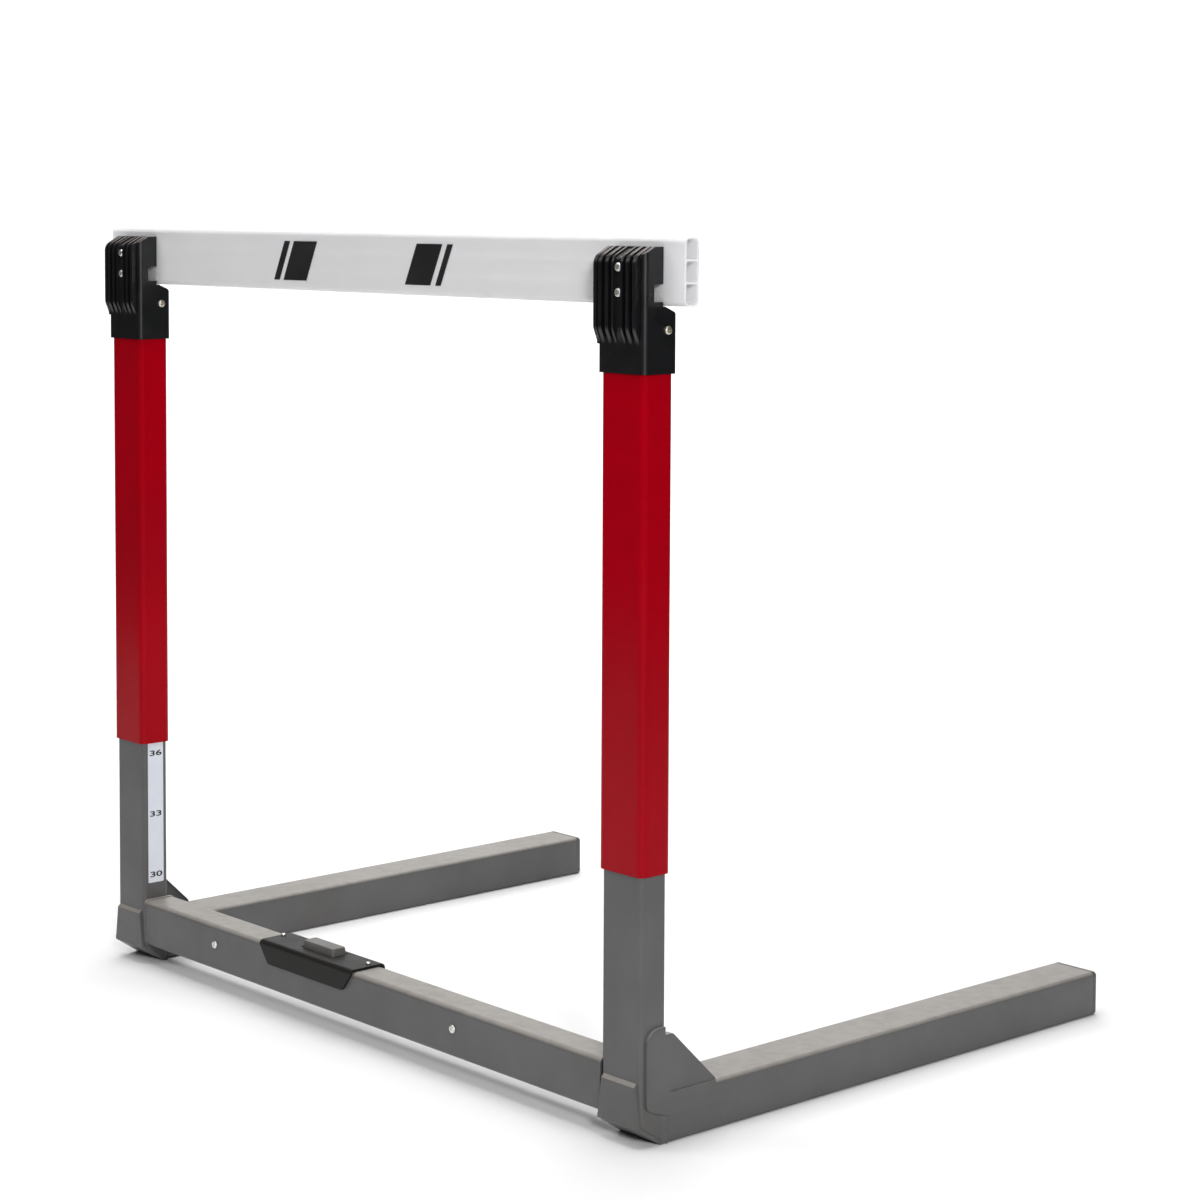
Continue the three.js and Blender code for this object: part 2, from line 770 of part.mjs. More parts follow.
// The counterweight, with a ledge that takes hold of the cable's lower run
function counterweight({ sign }) {
  const outer = sign * (legOuterFace - legWall - 2 * gap);
  const inner = outer - sign * weightWidth;
  const ledgeFace = inner - sign * weightLedge;
  const [low, ledgeTop] = [legWall + gap, cableLowRun - cableRadius - gap];
  const shoulder = low + weightRunnerInset / 2;
  const inset = sign * weightRunnerInset;
  const outline = outlineOf([
    [inner + inset, low],
    [outer - inset, low],
    [outer - inset, shoulder],
    [outer, shoulder],
    [outer, low + weightHeight],
    [inner, low + weightHeight],
    [inner, ledgeTop],
    [ledgeFace, ledgeTop],
    [ledgeFace, shoulder],
    [inner + inset, shoulder],
  ]);
  return prismY(outline, weightPlace - weightLength / 2, weightPlace + weightLength / 2);
}

// Gate pieces of one side; z runs from the board's top edge

function sleeve() {
  const section = (inset) => {
    const [x, y] = [sleeveWidth / 2 - inset, sleeveDepth / 2 - inset];
    const radius = postCornerRadius + sleeveClearance + sleeveWall - inset;
    return roundedBox(-x, x, postMiddle - y, postMiddle + y, radius);
  };
  const tube = prismZ(section(0), sleeveTop - sleeveLength, sleeveTop, [section(sleeveWall)]);
  const screwCentre = point(0, capScrewSetback, capBottom + capScrewRise);
  return tube.subtract(roundBar(axisX, screwRadius + gap, -capWidth, capWidth, screwCentre));
}

// The side profile of a cap in (y, z), with its top lowered by a depth
function capProfile(lowered) {
  const top = -capTopDrop - lowered;
  return outlineOf([
    [capFront, capBottom],
    [capBack, capBottom],
    [capBack, capLedgeTop - capBackFall],
    [capPlateBack + capLedgeFlat + capLedgeRun, capLedgeTop - capLedgeFall],
    [capPlateBack + capLedgeFlat, capLedgeTop],
    [capPlateBack, capLedgeTop],
    [capPlateBack, slotBottom],
    [capPlateBack - capSlotDepth, slotBottom],
    [capPlateBack - capSlotDepth, slotBottom + capSlotHeight],
    [capPlateBack, slotBottom + capSlotHeight],
    [capPlateBack, top],
    [capPlateBack - capTopFlat, top],
    [capFront, top - capTopFall],
  ]);
}

// A rib in (y, z), such as a fin: it grows out of the cap in an S curve and runs over the cap's top
function ribProfile(reach, lowered, topRadius) {
  const root = capFront + capCornerRadius;
  const front = capFront - reach;
  const top = -capTopDrop - lowered;
  const foot = capBottom + finFoot;
  const slotTop = slotBottom + capSlotHeight;
  const flatFront = capPlateBack - capTopFlat;
  const frontTop = top - (capTopFall / (flatFront - capFront)) * (flatFront - front);
  const curveSteps = 2 * cornerSteps;
  const rise = [];
  for (let k = 0; k < curveSteps; k += 1) {
    const share = k / curveSteps;
    rise.push([capFront - (reach * (1 - Math.cos(Math.PI * share))) / 2, foot + finCurve * share]);
  }
  return outlineOf([
    [root, foot],
    ...rise,
    [front, foot + finCurve],
    [front, frontTop, topRadius],
    [flatFront, top],
    [capPlateBack, top],
    [capPlateBack, slotTop],
    [root, slotTop],
  ]);
}

function cap() {
  const half = capWidth / 2;
  const rimInside = -finPlaces[0][1];
  let body = prismX(capProfile(finTopGroove), -half, half);
  const rim = capProfile(0);
  for (const face of [-1, 1]) {
    body = body.add(prismX(rim, face * rimInside, face * half));
  }
  const plan = roundedBox(-half, half, capFront, capBack, capCornerRadius);
  body = body.intersect(prismZ(plan, capBottom - overrun, 0));
  const channelFloor = ribProfile(channelRise, finTopGroove, channelTopRadius);
  body = body.add(prismX(channelFloor, -channelHalf, channelHalf));
  const fin = ribProfile(finReach, 0, finTopRadius);
  for (const [left, right] of finPlaces) {
    body = body.add(prismX(fin, left, right));
  }
  const [x, y] = [sleeveWidth / 2 + gap, sleeveDepth / 2 + gap];
  const room = roundedBox(-x, x, postMiddle - y, postMiddle + y, capCornerRadius - capWall);
  body = body.subtract(prismZ(room, capBottom - overrun, capInsideTop));
  for (const rise of boardScrewRises) {
    const at = point(0, 0, boardBottom + rise);
    body = body.subtract(roundBar(axisY, screwRadius + gap, finFront, boardSetback + overrun, at));
  }
  const at = point(0, capScrewSetback, capBottom + capScrewRise);
  return body.subtract(roundBar(axisX, screwRadius + gap, -capWidth, capWidth, at));
}

function boardScrew(rise) {
  const seat = point(0, capFront - channelRise - gap, boardBottom + rise);
  const shank = boardSetback + boardScrewBite - seat.y;
  return domed(screwRadius, shank, screwHeadRadius, screwHeadHeight, axisY.clone().negate(), seat);
}

function capScrew(face) {
  const seat = point(face * (capWidth / 2 + gap), capScrewSetback, capBottom + capScrewRise);
  const shank = capWidth / 2 + gap - sleeveWidth / 2 + sleeveWall + capScrewBite;
  const out = axisX.clone().multiplyScalar(face);
  return domed(screwRadius, shank, screwHeadRadius, screwHeadHeight, out, seat);
}

// The flat bar that hangs from the cap's side screws; the cam bites on it, its foot holds the cable
function lockBar({ sign }) {
  const highestFoot = camHeight - camPinRadius - barStopClearance;
  const footTop = highestFoot - liftToTop - boardTop;
  const footBottom = footTop - barFootHeight;
  const [y0, y1] = [topSheave.y - barWidth / 2, topSheave.y + barWidth / 2];
  const [x0, x1] = [sign * barFace, sign * (barFace + barThickness)];
  const headMiddle = capBottom + capScrewRise;
  const headHalf = sleeveWidth / 2 - sleeveWall - barHeadClearance;
  const [headLow, headHigh] = [headMiddle - barHeadHeight / 2, headMiddle + barHeadHeight / 2];
  let bar = block(x0, x1, y0, y1, footBottom, headMiddle);
  bar = bar.add(block(-headHalf, headHalf, y0, y0 + barHeadWidth, headLow, headHigh));
  const screwCentre = point(0, capScrewSetback, headMiddle);
  for (const face of [-1, 1]) {
    const screwRoom = [face * (headHalf - capScrewBite - gap), face * (headHalf + overrun)];
    bar = bar.subtract(roundBar(axisX, screwRadius + gap, ...screwRoom, screwCentre));
  }
  const footBack = cableBackFace + barFootDepth;
  const grip = sign * (cablePlace - cableRadius);
  bar = bar.add(block(x0, x1, y0, footBack, footBottom, footTop));
  return bar.add(block(x1, grip, cableBackFace, footBack, footBottom, footTop));
}

// Pieces along the middle

function board() {
  const [y0, y1] = [boardSetback, boardSetback + boardDepth];
  const chamber = (boardHeight - (boardChambers + 1) * boardWall) / boardChambers;
  const holes = [];
  for (let i = 0; i < boardChambers; i += 1) {
    const low = boardBottom + boardWall + i * (chamber + boardWall);
    holes.push(roundedBox(y0 + boardWall, y1 - boardWall, low, low + chamber, boardChamberRadius));
  }
  const outline = roundedBox(y0, y1, boardBottom, 0, boardCornerRadius);
  let piece = prismX(outline, -boardLength / 2, boardLength / 2, holes);
  for (const x of [-postSpacing / 2, postSpacing / 2]) {
    for (const rise of boardScrewRises) {
      const at = point(x, 0, boardBottom + rise);
      piece = piece.subtract(roundBar(axisY, screwRadius + gap, y0 - overrun, y0 + boardWall + overrun, at));
    }
  }
  return piece;
}

// The pivot of a side's lever, halfway from the pedal to the post
function leverPivot({ sign }) {
  return point((pedalPlace + (sign * postSpacing) / 2) / 2, 0, leverLevel);
}

// A block at the pedal's place, with its length and depth enlarged by a margin at each end
function atPedal(lengthMargin, depthMargin, z0, z1) {
  const [x, y] = [pedalLength / 2 + lengthMargin, pedalDepth / 2 + depthMargin];
  return block(pedalPlace - x, pedalPlace + x, pedalSetback - y, pedalSetback + y, z0, z1);
}

function crossbar() {
  const section = (inset) => {
    const [low, high] = [crossbarLift + inset, crossbarTop - inset];
    return roundedBox(inset, crossbarDepth - inset, low, high, crossbarCornerRadius - inset);
  };
  let tube = prismX(section(0), -crossbarReach, crossbarReach, [section(crossbarWall)]);
  const topWall = [crossbarTop - crossbarWall - overrun, crossbarTop + overrun];
  tube = tube.subtract(atPedal(pedalClearance, pedalClearance, ...topWall));
  for (const side of sides) {
    const [front, back] = [-overrun, crossbarDepth + overrun];
    tube = tube.subtract(roundBar(axisY, leverPinRadius + gap, front, back, leverPivot(side)));
  }
  for (const x of coverRivetPlaces) {
    const at = point(x, coverRivetSetback, 0);
    tube = tube.subtract(roundBar(axisZ, coverRivetRadius + gap, ...topWall, at));
  }
  return tube;
}

// The folded sheet over the crossbar: a tapered flange in front and a short one behind
function pedalCover() {
  const [front, back] = [-gap - coverThickness, crossbarDepth + gap + coverThickness];
  const outerBend = coverBendRadius + coverThickness;
  const flangeLow = coverTop - coverFrontFlange;
  const section = outlineOf([
    [front, flangeLow],
    [-gap, flangeLow],
    [-gap, coverTop - coverThickness, coverBendRadius],
    [crossbarDepth + gap, coverTop - coverThickness, coverBendRadius],
    [crossbarDepth + gap, coverTop - coverBackFlange],
    [back, coverTop - coverBackFlange],
    [back, coverTop, outerBend],
    [front, coverTop, outerBend],
  ]);
  const half = coverLength / 2;
  let cover = prismX(section, pedalPlace - half, pedalPlace + half);
  for (const face of [-1, 1]) {
    const edge = pedalPlace + face * half;
    const taper = outlineOf([
      [edge + face * overrun, coverTop - outerBend],
      [edge, coverTop - outerBend],
      [edge - face * coverTaper, flangeLow],
      [edge - face * coverTaper, flangeLow - overrun],
      [edge + face * overrun, flangeLow - overrun],
    ]);
    cover = cover.subtract(prismY(taper, front - overrun, coverBendRadius));
  }
  cover = cover.subtract(atPedal(pedalClearance, pedalClearance, crossbarTop, coverTop + overrun));
  for (const x of coverRivetPlaces) {
    const at = point(x, coverRivetSetback, 0);
    cover = cover.subtract(roundBar(axisZ, coverRivetRadius + gap, crossbarTop, coverTop + overrun, at));
  }
  return cover;
}

function coverRivet(x) {
  const seat = point(x, coverRivetSetback, coverTop + gap);
  const shank = seat.z - crossbarTop + crossbarWall;
  return domed(coverRivetRadius, shank, coverRivetHeadRadius, coverRivetHeadHeight, axisZ, seat);
}

// The pedal: a tapered head, end lips that stop under the crossbar's top and a foot on the levers
function pedalButton() {
  const flangeTop = crossbarTop - crossbarWall - gap;
  const flangeMiddle = flangeTop - pedalFlangeHeight / 2;
  const flange = atPedal(pedalFlange, 0, flangeTop - pedalFlangeHeight, flangeTop);
  const [x, y] = [pedalLength / 2, pedalDepth / 2];
  const tapered = extruded(roundedBox(-x, x, -y, y, pedalCornerRadius), [], {
    depth: coverTop - flangeMiddle,
    bevelThickness: pedalProud,
    bevelSize: pedalTaper,
    bevelOffset: -pedalTaper,
    bevelSegments: 1,
  });
  const head = solidOf(tapered.translate(pedalPlace, pedalSetback, flangeMiddle));
  const belowHead = atPedal(overrun, overrun, flangeMiddle - pedalProud - overrun, flangeMiddle);
  const foot = block(
    pedalPlace - pedalFootLength / 2,
    pedalPlace + pedalFootLength / 2,
    leverSetback - leverThickness / 2,
    pedalSetback + pedalFootMargin,
    leverTop + gap,
    flangeMiddle,
  );
  return head.subtract(belowHead).add(flange).add(foot);
}

function pedalSpring() {
  const low = crossbarLift + crossbarWall + gap + springWireRadius;
  const high = leverTop - springWireRadius;
  const steps = springTurns * springTurnSteps;
  const path = [];
  for (let k = 0; k <= steps; k += 1) {
    const angle = (2 * Math.PI * k) / springTurnSteps;
    const out = point(Math.cos(angle), Math.sin(angle), 0);
    const at = point(pedalPlace, pedalSetback, low + ((high - low) * k) / steps);
    path.push({ at: at.addScaledVector(out, springRadius), up: axisZ, across: out });
  }
  return wire(path, springWireRadius, springSides, false);
}

function releaseLever(side) {
  const inner = pedalPlace + side.sign * leverEndGap;
  const outer = side.sign * (postSpacing / 2 + rodPlace + rodWidth / 2);
  const [y0, y1] = [leverSetback - leverThickness / 2, leverSetback + leverThickness / 2];
  const bar = block(inner, outer, y0, y1, leverTop - leverHeight, leverTop);
  return bar.subtract(roundBar(axisY, leverPinRadius + gap, y0 - overrun, y1 + overrun, leverPivot(side)));
}

function leverPin(side) {
  const seat = leverPivot(side).setY(-gap);
  const out = axisY.clone().negate();
  return domed(leverPinRadius, crossbarDepth, leverPinHeadRadius, leverPinHeadHeight, out, seat);
}

// Assembly: the frame, the gate at the board's height, and a group in each for either side

const hurdle = new THREE.Group();
hurdle.position.y = -(finFront + legBack) / 2;
const gate = new THREE.Group();
gate.position.z = boardTop;
hurdle.add(gate);

function add(group, name, shape, material) {
  const geometry = shape.isBufferGeometry ? shape : geometryOf(shape);
  const mesh = new THREE.Mesh(geometry, material);
  mesh.name = name;
  group.add(mesh);
}

const sides = [
  { word: 'left', sign: -1 },
  { word: 'right', sign: 1 },
];

add(hurdle, 'crossbar', crossbar(), greyPaint);
add(hurdle, 'pedal_cover', pedalCover(), blackPaint);
add(hurdle, 'pedal_button', pedalButton(), greyPlastic);
add(hurdle, 'pedal_spring', pedalSpring(), brightSteel);
add(gate, 'board', board(), whitePlastic);

for (const [i, side] of sides.entries()) {
  const { word, sign } = side;
  const frameSide = new THREE.Group();
  const gateSide = new THREE.Group();
  frameSide.position.x = (sign * postSpacing) / 2;
  gateSide.position.x = (sign * postSpacing) / 2;
  hurdle.add(frameSide);
  gate.add(gateSide);

  add(hurdle, `release_lever_${word}`, releaseLever(side), darkSteel);
  add(hurdle, `lever_pin_${word}`, leverPin(side), brightSteel);
  add(hurdle, `cover_rivet_${word}`, coverRivet(coverRivetPlaces[i]), brightSteel);

  add(frameSide, `post_${word}`, post(side), greyPaint);
  add(frameSide, `leg_${word}`, leg(side), greyPaint);
  add(frameSide, `leg_cap_${word}`, legCap(side), footPlastic);
  add(frameSide, `toe_plate_${word}`, toePlate(), greyPaint);
  add(frameSide, `corner_plate_${word}`, cornerPlate(side), greyPaint);
  add(frameSide, `post_glide_${word}`, postGlide(side), nylon);
  add(frameSide, `rod_guide_${word}`, rodGuide(side), darkSteel);
  add(frameSide, `lift_rod_${word}`, liftRod(side), darkSteel);
  add(frameSide, `lock_cam_${word}`, lockCam(side), darkSteel);
  add(frameSide, `cam_pin_${word}`, camPin(side), brightSteel);
  add(frameSide, `cable_${word}`, cable(side), brightSteel);
  add(frameSide, `top_sheave_${word}`, postSheave(topSheave, side), nylon);
  add(frameSide, `outer_sheave_${word}`, postSheave(outerSheave, side), nylon);
  add(frameSide, `inner_sheave_${word}`, postSheave(innerSheave, side), nylon);
  add(frameSide, `end_sheave_${word}`, legSheave(side), nylon);
  add(frameSide, `counterweight_${word}`, counterweight(side), darkSteel);

  add(gateSide, `sleeve_${word}`, sleeve(), redPaint);
  add(gateSide, `cap_${word}`, cap(), blackPlastic);
  add(gateSide, `lock_bar_${word}`, lockBar(side), brightSteel);
  add(gateSide, `lower_board_screw_${word}`, boardScrew(lowerScrewRise), brightSteel);
  add(gateSide, `upper_board_screw_${word}`, boardScrew(upperScrewRise), brightSteel);
  add(gateSide, `inner_cap_screw_${word}`, capScrew(-sign), brightSteel);
  add(gateSide, `outer_cap_screw_${word}`, capScrew(sign), brightSteel);
  if (sign < 0) add(frameSide, 'height_scale', heightScale(side), whiteLabel);
}

export default hurdle;
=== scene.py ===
"""Looks of an adjustable track hurdle: a striped board on two sleeves, posts, legs and a pedal.

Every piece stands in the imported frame: metres, +X along the board, +Y towards the far ends of
the legs, +Z up. A piece's sizes are named in millimetres, counted from a place of the frame.
"""

from __future__ import annotations

import logging
import math
from collections.abc import Callable, Iterator
from contextlib import contextmanager
from dataclasses import dataclass, field
from enum import Enum

import bmesh
import bpy
from mathutils import Matrix, Vector

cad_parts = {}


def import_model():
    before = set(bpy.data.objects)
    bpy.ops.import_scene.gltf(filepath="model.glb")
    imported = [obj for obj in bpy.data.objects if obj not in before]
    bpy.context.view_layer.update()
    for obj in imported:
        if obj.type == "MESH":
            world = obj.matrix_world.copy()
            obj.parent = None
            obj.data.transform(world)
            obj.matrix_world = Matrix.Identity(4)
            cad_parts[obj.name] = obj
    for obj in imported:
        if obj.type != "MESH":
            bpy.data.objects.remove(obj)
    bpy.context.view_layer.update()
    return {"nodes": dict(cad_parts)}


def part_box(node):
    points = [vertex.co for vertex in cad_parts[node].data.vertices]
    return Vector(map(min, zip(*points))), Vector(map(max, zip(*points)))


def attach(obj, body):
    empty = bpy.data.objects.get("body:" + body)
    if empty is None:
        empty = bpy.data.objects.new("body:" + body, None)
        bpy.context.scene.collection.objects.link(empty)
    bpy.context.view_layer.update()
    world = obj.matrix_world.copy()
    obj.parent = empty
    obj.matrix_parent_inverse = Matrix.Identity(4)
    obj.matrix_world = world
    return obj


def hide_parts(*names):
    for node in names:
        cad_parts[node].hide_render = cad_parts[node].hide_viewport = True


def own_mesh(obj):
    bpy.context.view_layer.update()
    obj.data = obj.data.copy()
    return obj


MM = 0.001
# In millimetres: how far apart two places are at most that count as one, or as close together
NEAR = 0.02
CLOSE = 1.0
# In millimetres: how far a cutter passes what it cuts, the play between two pieces that fit,
# and how deep a piece begins inside the one that it stands on
OVERRUN = 2.0
GAP = 0.3
EMBED = 1.0
# The least cosine at which an edge counts as along an axis, and a face as looking one way
ALONG = 0.999
FACING = 0.95
# How many faces a rounded corner and a whole turn have
CORNER_STEPS = 8
ROUND_STEPS = 40
SMOOTH_ANGLE = math.radians(35)
# How much of the height of a pin's or a rivet's head is round
DOME = 0.8

# The ways a face can look; OUT is +X, which on a side is away from the hurdle's middle
OUT, IN = Vector((1, 0, 0)), Vector((-1, 0, 0))
BACK, FRONT = Vector((0, 1, 0)), Vector((0, -1, 0))
UP, DOWN = Vector((0, 0, 1)), Vector((0, 0, -1))

log = logging.getLogger("hurdle")

Span = tuple[float, float]
Box = tuple[Vector, Vector]
Test = Callable[[Vector], bool]
Pick = Callable[[object], bool]
Tree = bpy.types.NodeTree
Socket = bpy.types.NodeSocket


class Axis(Enum):
    """A direction of the frame."""

    X = (1.0, 0.0, 0.0)
    Y = (0.0, 1.0, 0.0)
    Z = (0.0, 0.0, 1.0)

    @property
    def vector(self) -> Vector:
        """The direction as a vector."""
        return Vector(self.value)


class Side(Enum):
    """A side of the hurdle, and the sign of its X."""

    LEFT = -1
    RIGHT = 1

    @property
    def word(self) -> str:
        """The side's word, as nodes and pieces are named."""
        return self.name.lower()


def anywhere(_part: object) -> bool:
    """Accepts every point and every part of a mesh."""
    return True


def near(value: float, target: float) -> bool:
    """Says whether two places in millimetres are the same place."""
    return abs(value - target) < NEAR


def reach(low: float, high: float, by: float = OVERRUN) -> Span:
    """Two ends that reach further than two values, or less far where the length is negative."""
    return low - by, high + by


def settle() -> None:
    """Moves the active piece's place, turn and size into its mesh."""
    bpy.ops.object.transform_apply(location=True, rotation=True, scale=True)


def activate(piece: bpy.types.Object) -> None:
    """Selects one piece alone and makes it the active one.

    Args:
        piece: The piece that the next operators act on.
    """
    bpy.ops.object.select_all(action="DESELECT")
    piece.select_set(True)
    bpy.context.view_layer.objects.active = piece


def apply_modifier(piece: bpy.types.Object, kind: str, **settings: object) -> None:
    """Adds a modifier to a piece and applies it.

    Args:
        piece: The piece to change.
        kind: The modifier's type.
        **settings: The modifier's own settings by name.
    """
    activate(piece)
    bpy.ops.object.modifier_add(type=kind)
    modifier = piece.modifiers[-1]
    for name, value in settings.items():
        setattr(modifier, name, value)
    bpy.ops.object.modifier_apply(modifier=modifier.name)


@dataclass(frozen=True)
class Place:
    """A point of the frame that millimetres are counted from.

    Attributes:
        origin: The point, in metres.
        sign: 1, or -1 where X is counted towards the hurdle's left.
    """

    origin: Vector
    sign: int = 1

    def at(self, x: float, y: float, z: float) -> Vector:
        """Turns millimetres from this place to a point of the frame in metres."""
        return self.origin + Vector((self.sign * x, y, z)) * MM

    def run(self, x: float, y: float, z: float) -> Vector:
        """Turns a step in millimetres to a step of the frame in metres."""
        return Vector((self.sign * x, y, z)) * MM

    def local(self, point: Vector) -> Vector:
        """Turns a point of the frame to millimetres from this place."""
        away = (point - self.origin) / MM
        return Vector((self.sign * away.x, away.y, away.z))

    def block(self, name: str, x: Span, y: Span, z: Span) -> Shape:
        """Adds a block between two values of each coordinate.

        Args:
            name: The piece's name.
            x: Its two ends in X, in any order, in millimetres.
            y: Its two ends in Y.
            z: Its two ends in Z.

        Returns:
            The block as a shape to work on.
        """
        a, b = (self.at(*corner) for corner in zip(x, y, z))
        bpy.ops.object.select_all(action="DESELECT")
        bpy.ops.mesh.primitive_cube_add(size=1, location=(a + b) / 2)
        piece = bpy.context.object
        piece.scale = [abs(high - low) for low, high in zip(a, b)]
        settle()
        return Shape(self, piece, name)

    def box(self, name: str, low: Vector, high: Vector) -> Shape:
        """Adds a block between two corners in millimetres."""
        return self.block(name, *zip(low, high))

    def bar(self, name: str, axis: Axis, radius: float, span: Span, centre: Vector) -> Shape:
        """Adds a round bar along an axis.

        Args:
            name: The piece's name.
            axis: The direction that the bar lies in.
            radius: Its radius in millimetres.
            span: Its two ends on that axis, in any order.
            centre: A point of its middle line, in millimetres from this place.

        Returns:
            The bar as a shape to work on.
        """
        across = Vector((1, 1, 1)) - axis.vector
        middle = centre * across + axis.vector * sum(span) / 2
        bpy.ops.object.select_all(action="DESELECT")
        bpy.ops.mesh.primitive_cylinder_add(
            vertices=ROUND_STEPS,
            radius=radius * MM,
            depth=abs(span[1] - span[0]) * MM,
            location=self.at(*middle),
            rotation=axis.vector.to_track_quat("Z", "Y").to_euler(),
        )
        piece = bpy.context.object
        settle()
        return Shape(self, piece, name)


class Shape:
    """A piece on the bench, worked on in millimetres from its place."""

    def __init__(self, place: Place, piece: bpy.types.Object, name: str) -> None:
        """Takes up a new piece.

        Args:
            place: Where its millimetres are counted from.
            piece: The object.
            name: The name that the object gets.
        """
        self.place = place
        self.piece = piece
        piece.name = piece.data.name = name

    @contextmanager
    def picked(self, kind: str, test: Pick) -> Iterator[None]:
        """Opens the piece for editing with the parts that pass a test selected.

        Args:
            kind: The kind of part: VERT, EDGE or FACE.
            test: Which parts.

        Yields:
            Nothing, while the piece is open.
        """
        activate(self.piece)
        bpy.ops.object.mode_set(mode="EDIT")
        bpy.ops.mesh.select_mode(type=kind)
        bpy.ops.mesh.select_all(action="DESELECT")
        mesh = bmesh.from_edit_mesh(self.piece.data)
        parts = {"VERT": mesh.verts, "EDGE": mesh.edges, "FACE": mesh.faces}[kind]
        for part in [part for part in parts if test(part)]:
            part.select_set(True)
        mesh.select_flush_mode()
        bmesh.update_edit_mesh(self.piece.data)
        yield
        bpy.ops.object.mode_set(mode="OBJECT")

    def _verts(self, where: Test) -> Pick:
        """A test of vertices by their place."""
        return lambda vert: where(self.place.local(vert.co))

    def _faces(self, facing: Vector) -> Pick:
        """A test of faces that look one way."""
        out = Vector((self.place.sign * facing.x, facing.y, facing.z)).normalized()
        return lambda face: face.normal.dot(out) > FACING

    def _edges(self, axis: Axis, where: Test) -> Pick:
        """A test of edges that lie along an axis.

        Args:
            axis: The direction of the edges.
            where: Which edges, by their middle.

        Returns:
            The test.
        """

        def test(edge: object) -> bool:
            """Says whether an edge lies along the axis and its middle passes."""
            a, b = (vert.co for vert in edge.verts)
            slant = (b - a).normalized().dot(axis.vector)
            return abs(slant) > ALONG and where(self.place.local((a + b) / 2))

        return test

    def round(
        self, axis: Axis, radius: float, where: Test = anywhere, steps: int = CORNER_STEPS
    ) -> Shape:
        """Rounds the edges that lie along an axis.

        Args:
            axis: The direction of the edges.
            radius: How far the rounding reaches from the edge, in millimetres.
            where: Which edges, by their middle.
            steps: How many faces the rounding has.

        Returns:
            The shape itself.
        """
        with self.picked("EDGE", self._edges(axis, where)):
            bpy.ops.mesh.bevel(offset=radius * MM, segments=steps, affect="EDGES")
        return self

    def slice(self, point: Vector, normal: Vector, closes: bool = True) -> Shape:
        """Cuts away what lies beyond a plane.

        Args:
            point: A point of the plane, in millimetres.
            normal: The way that the part which is cut away lies.
            closes: Whether the cut gets a face.

        Returns:
            The shape itself.
        """
        with self.picked("FACE", anywhere):
            bpy.ops.mesh.bisect(
                plane_co=self.place.at(*point),
                plane_no=self.place.run(*normal).normalized(),
                use_fill=closes,
                clear_outer=True,
            )
        return self

    def score(self, point: Vector, axis: Axis) -> Shape:
        """Draws a line round the shape where a plane across an axis meets it.

        Args:
            point: A point of the plane, in millimetres.
            axis: The direction that the plane is square to.

        Returns:
            The shape itself.
        """
        with self.picked("FACE", anywhere):
            bpy.ops.mesh.bisect(plane_co=self.place.at(*point), plane_no=axis.vector)
        return self

    def shift(self, by: Vector, where: Test) -> Shape:
        """Moves the vertices that pass a test.

        Args:
            by: The step in millimetres.
            where: Which vertices.

        Returns:
            The shape itself.
        """
        with self.picked("VERT", self._verts(where)):
            bpy.ops.transform.translate(value=self.place.run(*by))
        return self

    def scale(self, factors: Vector, centre: Vector, where: Test) -> Shape:
        """Draws the vertices that pass a test towards a centre.

        Args:
            factors: The scale along each axis.
            centre: The point that stays, in millimetres.
            where: Which vertices.

        Returns:
            The shape itself.
        """
        with self.picked("VERT", self._verts(where)):
            bpy.ops.transform.resize(value=factors, center_override=self.place.at(*centre))
        return self

    def extrude(self, by: Vector, facing: Vector) -> Shape:
        """Draws out the faces that look one way.

        Args:
            by: The step in millimetres.
            facing: The way that the faces look.

        Returns:
            The shape itself.
        """
        with self.picked("FACE", self._faces(facing)):
            step = {"value": self.place.run(*by)}
            bpy.ops.mesh.extrude_region_move(TRANSFORM_OT_translate=step)
        return self

    def hollow(self, wall: float, *openings: Vector) -> Shape:
        """Makes the shape a shell with a wall inwards.

        Args:
            wall: The wall in millimetres.
            *openings: The ways to which the shell is open.

        Returns:
            The shape itself.
        """
        for facing in openings:
            with self.picked("FACE", self._faces(facing)):
                bpy.ops.mesh.delete(type="FACE")
        apply_modifier(
            self.piece, "SOLIDIFY", thickness=wall * MM, offset=-1, use_even_offset=True
        )
        return self

    def soften(self, width: float, steps: int = 2, angle: float = 40) -> Shape:
        """Breaks every edge that is sharper than an angle.

        Args:
            width: The width of the broken edge in millimetres.
            steps: How many faces it has.
            angle: The least angle in degrees.

        Returns:
            The shape itself.
        """
        apply_modifier(
            self.piece,
            "BEVEL",
            width=width * MM,
            segments=steps,
            limit_method="ANGLE",
            angle_limit=math.radians(angle),
            miter_outer="MITER_ARC",
        )
        return self

    def round_rim(self, facing: Vector, radius: float, steps: int) -> Shape:
        """Rounds the rim of the faces that look one way.

        Args:
            facing: The way that the faces look.
            radius: The radius of the rim in millimetres.
            steps: How many faces the rounding has.

        Returns:
            The shape itself.
        """
        with self.picked("FACE", self._faces(facing)):
            bpy.ops.mesh.region_to_loop()
            bpy.ops.mesh.bevel(offset=radius * MM, segments=steps, affect="EDGES")
        return self

    def emboss(self, facing: Vector, margin: float, rise: float) -> Shape:
        """Raises the faces that look one way, inside a margin that slopes up to them.

        Args:
            facing: The way that the faces look.
            margin: The width of the margin in millimetres.
            rise: How far the faces are raised, in millimetres.

        Returns:
            The shape itself.
        """
        with self.picked("FACE", self._faces(facing)):
            bpy.ops.mesh.inset(thickness=margin * MM, depth=rise * MM)
        return self

